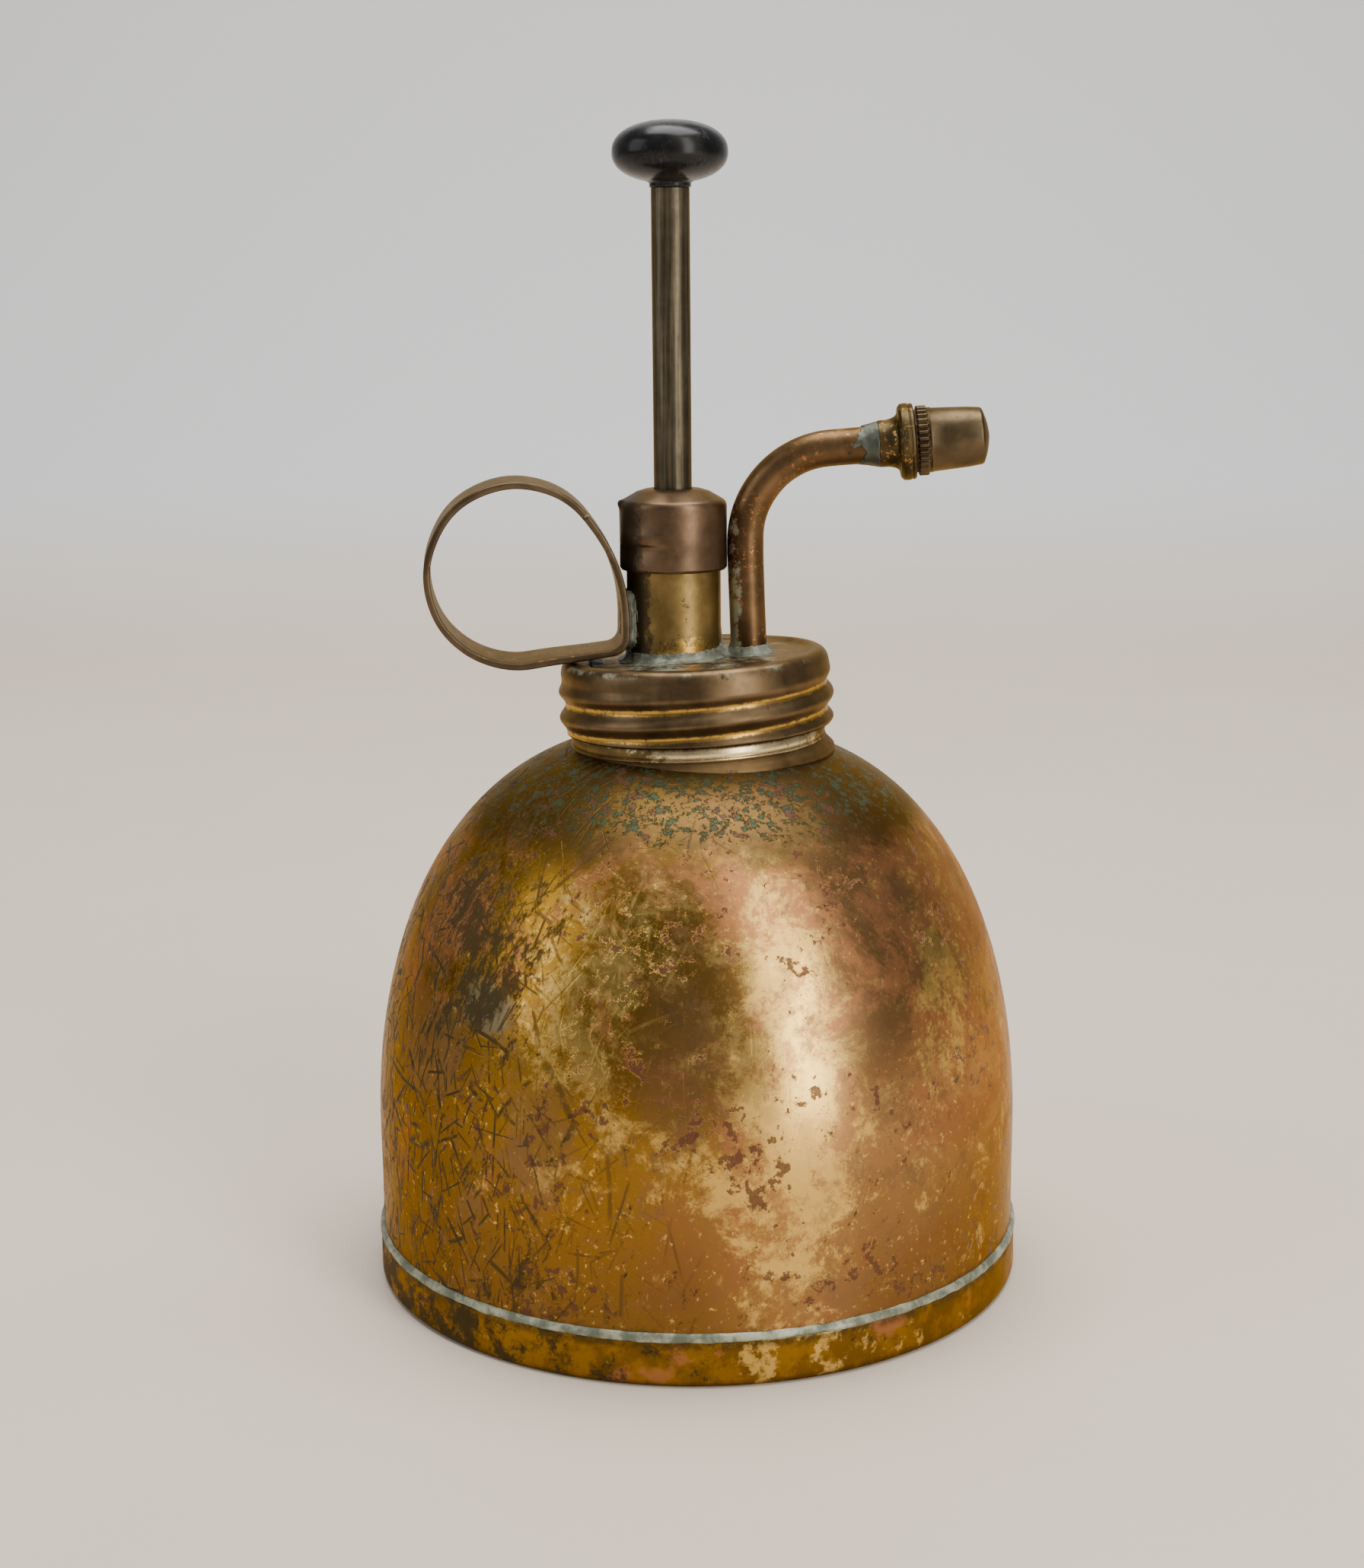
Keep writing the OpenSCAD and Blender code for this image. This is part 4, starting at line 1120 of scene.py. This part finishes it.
RING_TURN = math.radians(9)
RING_W = 9.2
RING_T = 0.9
RING_FRAME = PUMP_FRAME @ Matrix.Rotation(RING_TURN, 4, "Z")


def ring_path(inset, step=0.4):
    """Points (u, z) and outward normals along the ring's outline, moved in by inset."""
    main_c, main_r, blend_a = np.array((-20.75, 95.45)), 12.2, math.radians(40)
    leg_u, slope, corner_r, corner_z = -6.3, math.radians(6.9), 2.6, 87.2
    heading = np.array((math.cos(blend_a), math.sin(blend_a)))
    blend_r = (leg_u - main_c[0] - main_r * heading[0]) / (1 - heading[0])
    blend_c = main_c + (main_r - blend_r) * heading
    corner_c = np.array((leg_u - corner_r, corner_z))
    arcs = [(main_c, main_r, TURN * 0.75 + slope, blend_a), (blend_c, blend_r, blend_a, 0.0),
            (corner_c, corner_r, 0.0, slope - TURN / 4)]
    stops = []
    for centre, radius, start, end in arcs:
        count = max(6, int(abs(end - start) * radius / step))
        for a in np.linspace(start, end, count):
            out = np.array((math.cos(a), math.sin(a)))
            stops.append((centre + (radius - inset) * out, out))
    made = []
    for (here, out), (there, out_there) in zip(stops, stops[1:] + stops[:1]):
        made.append((here, out))
        span = np.linalg.norm(there - here)
        extra = int(span / step)
        for k in range(1, extra):
            t = k / extra
            mixed = (1 - t) * out + t * out_there
            made.append(((1 - t) * here + t * there, mixed / np.linalg.norm(mixed)))
    return made


def finger_ring():
    path = ring_path(RING_T / 2)
    half_w, half_t, edge = RING_W / 2, RING_T / 2, 0.22
    section = []
    for cx, cy, start in ((half_t - edge, half_w - edge, 0), (edge - half_t, half_w - edge, 90),
                          (edge - half_t, edge - half_w, 180), (half_t - edge, edge - half_w, 270)):
        section += arc((cx, cy), edge, start, start + 90, 3)
        if start in (90, 270):
            sign = -1 if start == 90 else 1
            section += [(sign * half_t, v) for v in
                        np.linspace(half_w - edge, edge - half_w, 9)[1:-1] * -sign]
    centres, outs, sides = [], [], []
    for i, ((u, z), out) in enumerate(path):
        share = i / len(path)
        lean = math.radians(2.5) * math.sin(TURN * share + 1.0)
        out3 = np.array((out[0], 0, out[1]))
        side = np.array((0, 1.0, 0))
        centre = np.array((u, 0, z)) + out3 * 0.12 * ripple((u, 0, z), 6, 41)
        centres.append(centre)
        outs.append(out3 * math.cos(lean) + side * math.sin(lean))
        sides.append(side * math.cos(lean) - out3 * math.sin(lean))
    points, rows = sweep(centres, outs, sides, section)
    faces = [f for a, b in zip(rows, rows[1:] + rows[:1]) for f in bridge(a, b)]
    inner = np.array([a < 0 for a, b in section] * len(path), float)
    make_piece("finger_ring", "strip", placed(points, RING_FRAME), faces, "head",
               "ring_brass", 0.12 + 0.45 * inner)


# ---------------------------------------------------------------- spray tube and nozzle

TUBE_END = 8.8
TUBE_LEAN = 0.45     # how far the tube's foot stands off its line, away from the pump


def bend_centre():
    """Where the tube's bend starts, and its radius: the bend ends at the nozzle's frame."""
    end, heading = NOZZLE_LINE
    radius = (end.x - TUBE_X) / (1 - heading.z)
    return end.z - radius * heading.x, radius


def spray_tube():
    wall, sides = 0.6, 40
    low = corners("spray_tube")[0].z
    bend_z, radius = bend_centre()
    end, heading = (np.array(v) for v in NOZZLE_LINE)
    last = math.atan2(heading[0], heading[2])
    straight_z, foot_z, low_z = 97.0, 84.0, 76.0
    stops = []
    for z in np.linspace(low, bend_z, 46):
        share = min((straight_z - z) / (straight_z - foot_z), (z - low_z) / (foot_z - low_z))
        stops.append(((TUBE_X + TUBE_LEAN * min(max(share, 0.0), 1.0), 0, z), 0.0))
    stops += [((TUBE_X + radius * (1 - math.cos(a)), 0, bend_z + radius * math.sin(a)), a)
              for a in np.linspace(0, last, 33)[1:]]
    stops += [(tuple(end + t * heading), last) for t in np.linspace(0, TUBE_END, 9)[1:]]
    angles = np.linspace(0, TURN, sides, endpoint=False)
    layers = []
    for inset in (0, wall):
        rows = []
        for place, a in stops:
            squeeze = 0.035 * math.sin(math.pi * a / last) if a < last else 0.0
            across = np.array((math.cos(a), 0, -math.sin(a)))
            side = np.array((0, 1.0, 0))
            ring = []
            for t in angles:
                r = TUBE_R - inset + (0 if inset else 0.03 * ripple(
                    (place[0] + 3 * math.cos(t), 3 * math.sin(t), place[2]), 4, 51))
                ring.append(np.array(place) + r * ((1 - squeeze) * math.cos(t) * across
                                                   + (1 + squeeze) * math.sin(t) * side))
            rows.append(ring)
        layers.append(rows)
    rows = layers[0] + layers[1][::-1]
    points = np.array([p for ring in rows for p in ring])
    numbers = [list(range(i * sides, (i + 1) * sides)) for i in range(len(rows))]
    faces = [f for a, b in zip(numbers, numbers[1:] + numbers[:1]) for f in bridge(a, b)]
    make_piece("spray_tube", "skin", points, faces, "head", "tube_brass", 0.12)


def nozzle_body():
    start, neck_end, front, back = 6.3, 7.1, 8.93, 11.03
    ferrule_r, spigot_r, bore_r, spigot_end = 3.05, 3.0, 1.3, 16.0
    flare_r = 3.9
    flare = [(ferrule_r + (flare_r - ferrule_r) * (1 - math.cos(a)),
              neck_end + (front - neck_end) * math.sin(a)) for a in np.linspace(0, 1.35, 8)]
    outline = [(bore_r, TUBE_END + 0.1), (TUBE_R + 0.03, TUBE_END + 0.1),
               (TUBE_R + 0.03, start), (ferrule_r - 0.1, start), (ferrule_r, start + 0.15)]
    outline += flare
    outline += [(FLANGE_R - 0.45, front + 0.1), (FLANGE_R - 0.05, front + 0.45),
                (FLANGE_R, (front + back) / 2), (FLANGE_R - 0.04, back - 0.7),
                (FLANGE_R - 0.16, back - 0.55), (FLANGE_R - 0.06, back - 0.4),
                (FLANGE_R - 0.12, back - 0.1), (FLANGE_R - 0.3, back),
                (spigot_r, back), (spigot_r, spigot_end), (bore_r, spigot_end)]

    def wear(_, r, s):
        lip = np.clip((s - back + 0.6) / 0.1, 0, 1) * (s < back + 0.1) * (r > FLANGE_R - 0.8)
        edge = np.exp(-((s - front - 0.35) / 0.25) ** 2) * (r > FLANGE_R - 0.8)
        return 0.15 + 0.35 * lip + 0.3 * edge

    turned("nozzle_body", NOZZLE_FRAME, outline, 96, "head", "nozzle_brass", soft=0.12,
           wear=wear)


KNURL_TEETH = 32


def nozzle_cap():
    low, high = corners_along(NOZZLE_LINE, "nozzle_cap")
    spigot_room, swirl_end, swirl_room, orifice = 3.05, 16.05, 2.62, 0.4
    body_r, end_r, corner_r, dome = 4.15, 3.72, 0.55, 1.0
    knurl_end, tip = low + 1.4, high - dome
    outline = [(orifice, swirl_end + 2.75), (swirl_room, swirl_end + 2.75),
               (swirl_room, swirl_end), (spigot_room, swirl_end), (spigot_room, low),
               (KNURL_R - 0.15, low)]
    outline += [(KNURL_R, s) for s in np.linspace(low + 0.12, knurl_end - 0.12, 5)]
    outline += [(KNURL_R - 0.25, knurl_end), (body_r + 0.02, knurl_end + 0.05),
                (body_r + 0.12, knurl_end + 0.3), (body_r, knurl_end + 0.6)]
    outline += [(body_r + (end_r + 0.1 - body_r) * t, knurl_end + 0.6 + t * (tip - 0.9 - knurl_end))
                for t in (0.25, 0.5, 0.75)]
    outline += arc((end_r - corner_r, tip - 0.25), corner_r, 5, 70, 6)
    outline += [(2.4, tip + 0.62), (1.6, tip + 0.82), (0.9, high - 0.06), (orifice + 0.15, high),
                (orifice, high - 0.1)]
    sink = 0.34

    def shape(angles, r, z):
        toothed = np.clip((r - KNURL_R + 0.3) / 0.2, 0, 1) * (z < knurl_end)
        valley = 0.5 + 0.5 * np.cos(KNURL_TEETH * angles)
        return r - toothed * sink * valley ** 1.5, z

    def wear(_, r, s):
        crest = np.clip((r - KNURL_R + 0.16) / 0.12, 0, 1) * (s < knurl_end)
        ring = np.exp(-((s - knurl_end - 0.3) / 0.3) ** 2)
        edge = np.exp(-((s - tip + 0.05) / 0.35) ** 2)
        return 0.1 + 0.5 * crest + 0.35 * ring + 0.35 * edge

    turned("nozzle_cap", NOZZLE_FRAME, outline, KNURL_TEETH * 12, "spray_cap", "spray_brass",
           soft=0.08, shape=shape, wear=wear)


def nozzle_washer():
    low, high = corners_along(NOZZLE_LINE, "nozzle_washer")
    r, bore = reach("nozzle_washer", NOZZLE_LINE), 3.06
    outline = [(bore, low), (r, low), (r, high), (bore, high)]
    turned("nozzle_washer", NOZZLE_FRAME, outline, 96, "nozzle_packing", "fibre", soft=0.12)


# ---------------------------------------------------------------- solder

def grid(low, high, cell):
    """Places of a regular grid of points, in mm."""
    steps = [np.arange(a, b + cell, cell) for a, b in zip(low, high)]
    return np.stack(np.meshgrid(*steps, indexing="ij"), axis=-1)


def line_distance(places, line):
    """Distance of places from a line, and how far along it they are."""
    point, axis = (np.array(v) for v in line)
    along = (places - point) @ axis
    return np.linalg.norm(places - point - along[..., None] * axis, axis=-1), along


def smooth_min(distances, width):
    """The least of some distances, rounded off where two of them meet."""
    total = distances[0]
    for other in distances[1:]:
        share = np.clip(0.5 + 0.5 * (other - total) / width, 0, 1)
        total = other * (1 - share) + total * share - width * share * (1 - share)
    return total


def lumps(places, size, depth, seed):
    """Noise over a grid: sines of mixed directions, cheap and smooth."""
    chance = np.random.default_rng(seed)
    total = np.zeros(places.shape[:-1])
    for octave in range(3):
        for _ in range(6):
            heading = chance.normal(size=3)
            heading /= np.linalg.norm(heading)
            phase = chance.uniform(0, TURN)
            wave = size / 2 ** octave * chance.uniform(0.7, 1.3)
            total += np.sin(places @ heading * TURN / wave + phase) / 2 ** octave
    return depth * total / 4


def settled(piece, rounds):
    """Smooths the steps that the grid leaves in a piece of solder."""
    relax = piece.modifiers.new("relax", "SMOOTH")
    relax.factor = 0.5
    relax.iterations = rounds
    return relax


def fillet(node, box, cell, walls, width, size, depth, seed, limit):
    """Solder in the corners between walls.

    walls(places) gives distances to the pieces it joins; limit(places) is negative
    where solder may be. It is buried a little way into what it sits on.
    """
    bury = 0.12
    places = grid(*box, cell)
    distances = walls(places)
    near = np.minimum.reduce(distances)
    flow = smooth_min(distances, width) + lumps(places, size, depth, seed)
    solder = np.maximum.reduce([flow, smooth_min(distances, width) - near + 0.05,
                                -(near + bury), limit(places)])
    for side in range(3):
        edge = [slice(None)] * 3
        for end in (0, -1):
            edge[side] = end
            solder[tuple(edge)] = np.maximum(solder[tuple(edge)], cell)
    points, faces = surface_net(solder, box[0], cell)
    piece = make_piece(node, "flow", points, faces, "head", "solder", look="cap_solder")
    settled(piece, 3)
    bpy.context.view_layer.objects.active = piece
    bpy.ops.object.modifier_move_to_index(modifier="relax", index=0)


def cap_top(places):
    """Height of places over the cap's top."""
    point, axis = (np.array(v) for v in CAP_LINE)
    return (places - point) @ axis - (CAP_H - CAP_DISH)


def ring_distance(places):
    """Distance of places from the strip of the finger ring."""
    turned = np.array((RING_FRAME.inverted()).to_3x3())
    local = (places - np.array(RING_FRAME.translation)) @ turned.T
    path = np.array([p for p, _ in ring_path(RING_T / 2, 0.5)])
    flat = local[..., (0, 2)]
    best = np.full(flat.shape[:-1], 99.0)
    for u, z in path:
        best = np.minimum(best, (flat[..., 0] - u) ** 2 + (flat[..., 1] - z) ** 2)
    across = np.sqrt(best) - RING_T / 2
    beyond = np.abs(local[..., 1]) - RING_W / 2
    return np.maximum(across, beyond), local


def barrel_solder():
    def walls(places):
        return [line_distance(places, PUMP_LINE)[0] - BARREL_R, cap_top(places)]

    def limit(places):
        return np.maximum(places[..., 2] - 88.5, PUMP_X - 5.4 - places[..., 0])

    fillet("barrel_solder", ((-12, -11, 82.5), (7, 11, 89)), 0.2, walls,
           2.0, 3.4, 0.05, 61, limit)


def tube_solder():
    def walls(places):
        tube = line_distance(places, ((TUBE_X + TUBE_LEAN, 0, 0), (0, 0, 1)))[0] - TUBE_R
        barrel = line_distance(places, PUMP_LINE)[0] - BARREL_R
        return [tube, cap_top(places), barrel]

    def limit(places):
        away = line_distance(places, ((TUBE_X, 0, 0), (0, 0, 1)))[0]
        return np.maximum(places[..., 2] - 88.0, away - 6.5)

    fillet("tube_solder", ((1, -7, 82.5), (13, 7, 88.4)), 0.2, walls,
           1.9, 3.0, 0.05, 63, limit)


def ring_solder():
    def walls(places):
        ring, _ = ring_distance(places)
        return [ring, line_distance(places, PUMP_LINE)[0] - BARREL_R, cap_top(places)]

    def limit(places):
        _, local = ring_distance(places)
        rise = places[..., 2] - 92.5 + lumps(places, 5.0, 0.8, 66)
        return np.maximum.reduce([rise, np.abs(local[..., 1]) - 4.4, -11.5 - local[..., 0]])

    fillet("ring_solder", ((-17, -8, 82.5), (-2, 8, 95.4)), 0.22, walls,
           1.7, 3.0, 0.05, 65, limit)


def nozzle_solder():
    cell = 0.14
    point = np.array(NOZZLE_LINE[0] + 5 * NOZZLE_LINE[1])
    low = tuple(point - (3.6, 3.8, 3.8))
    places = grid(low, tuple(point + (2.6, 3.8, 3.8)), cell)
    away, along = line_distance(places, NOZZLE_LINE)
    thick = 0.10 + 0.5 * np.clip((along - 3.6) / 2.7, 0, 1) ** 1.5
    shell = away - TUBE_R - thick + lumps(places, 2.2, 0.06, 69)
    ends = np.maximum(along - 6.45, 3.9 + lumps(places, 2.4, 0.9, 67) - along)
    collar = np.maximum.reduce([shell, TUBE_R - 0.12 - away, ends])
    points, faces = surface_net(collar, low, cell)
    piece = make_piece("nozzle_solder", "flow", points, faces, "head", "solder", 0.4,
                       "nozzle_solder")
    settled(piece, 2)


# ---------------------------------------------------------------- inner pieces

def carried_over():
    """Gives the inner CAD pieces that have no drawn twin their materials."""
    nodes = {"leather": ("cap_gasket", "cup_leather"), "packing": ("gland_packing",),
             "ball_steel": ("inlet_ball", "outlet_ball"),
             "inner_brass": ("gland_washer", "foot_valve_body", "stop_pin", "suction_strainer",
                             "swirl_core", "spring_washer", "piston_plate", "piston_washer",
                             "piston_nut")}
    for slot, names in nodes.items():
        for name in names:
            mesh = frame["nodes"][name].data
            mesh.materials.clear()
            mesh.materials.append(LOOKS[slot])


# ---------------------------------------------------------------- studio

def floor():
    look = Look("studio_floor")
    _, _, z = look.axes()
    cloud = look.noise(60, detail=2, shift=3)
    warm = look.mix(cloud, (0.66, 0.56, 0.45), (0.70, 0.60, 0.49))
    colour = look.mix(look.band(z, 0, 60), warm, (0.70, 0.70, 0.70))
    material = look.finish(colour, 0.75, 0.0)
    mesh = bpy.data.meshes.new("studio_floor")
    wide, back, rise, steps = 1.6, 0.5, 0.35, 12
    profile = [(-1.4, 0.0), (back, 0.0)]
    profile += [(back + rise * math.sin(a), rise * (1 - math.cos(a)))
                for a in np.linspace(0, math.pi / 2, steps)[1:]]
    profile.append((back + rise, 1.8))
    points = [(x, y, z) for y, z in profile for x in (-wide, wide)]
    faces = [(2 * i, 2 * i + 1, 2 * i + 3, 2 * i + 2) for i in range(len(profile) - 1)]
    mesh.from_pydata(points, [], faces)
    mesh.polygons.foreach_set("use_smooth", [True] * len(mesh.polygons))
    mesh.materials.append(material)
    link("studio_floor", mesh)


def soft_box(name, place, target, wide, tall, watts, colour):
    lamp = bpy.data.lights.new(name, "AREA")
    lamp.shape = "RECTANGLE"
    lamp.size = wide
    lamp.size_y = tall
    lamp.energy = watts
    lamp.color = colour
    piece = link(name, lamp)
    piece.location = place
    heading = Vector(target) - Vector(place)
    piece.rotation_euler = heading.to_track_quat("-Z", "Y").to_euler()


def lights():
    world = bpy.data.worlds.new("pale_room")
    world.use_nodes = True
    background = world.node_tree.nodes["Background"]
    background.inputs["Color"].default_value = (0.92, 0.95, 1.0, 1.0)
    background.inputs["Strength"].default_value = 0.21
    bpy.context.scene.world = world
    middle = (0.0, 0.0, 0.07)
    soft_box("tall_key", (0.36, -0.43, 0.45), (0.0, 0.0, 0.45), 0.18, 0.9, 4.0, (1.0, 0.97, 0.92))
    soft_box("wide_left", (-0.80, -0.30, 0.45), middle, 0.5, 0.7, 2.4, (0.94, 0.96, 1.0))
    soft_box("overhead", (0.05, 0.10, 1.10), middle, 0.9, 0.7, 17.5, (1.0, 1.0, 1.0))


def camera():
    place = Vector((10.28, -302.96, 128.41)) * MM
    down, left, roll = (math.radians(a) for a in (11.564, 2.253, 0.498))
    forward = Vector((-math.sin(left) * math.cos(down), math.cos(left) * math.cos(down),
                      -math.sin(down)))
    right = forward.cross(Vector((0, 0, 1))).normalized()
    up = right.cross(forward)
    right, up = (math.cos(roll) * right - math.sin(roll) * up,
                 math.sin(roll) * right + math.cos(roll) * up)
    turned = Matrix((right, up, -forward)).transposed().to_4x4()
    lens = bpy.data.cameras.new("camera")
    lens.lens = 52.62
    lens.sensor_width = 36
    lens.sensor_height = 36
    lens.clip_start = 0.01
    piece = link("camera", lens)
    piece.matrix_world = Matrix.Translation(place) @ turned
    bpy.context.scene.camera = piece


# ---------------------------------------------------------------- build

for build in (tank_shell, base_pan, base_solder, neck_ring, neck_solder, screw_cap,
              pump_barrel, gland_cap, plunger_rod, knob, return_spring, finger_ring,
              spray_tube, nozzle_body, nozzle_cap, nozzle_washer, barrel_solder,
              tube_solder, ring_solder, nozzle_solder, carried_over, floor, lights, camera):
    build()
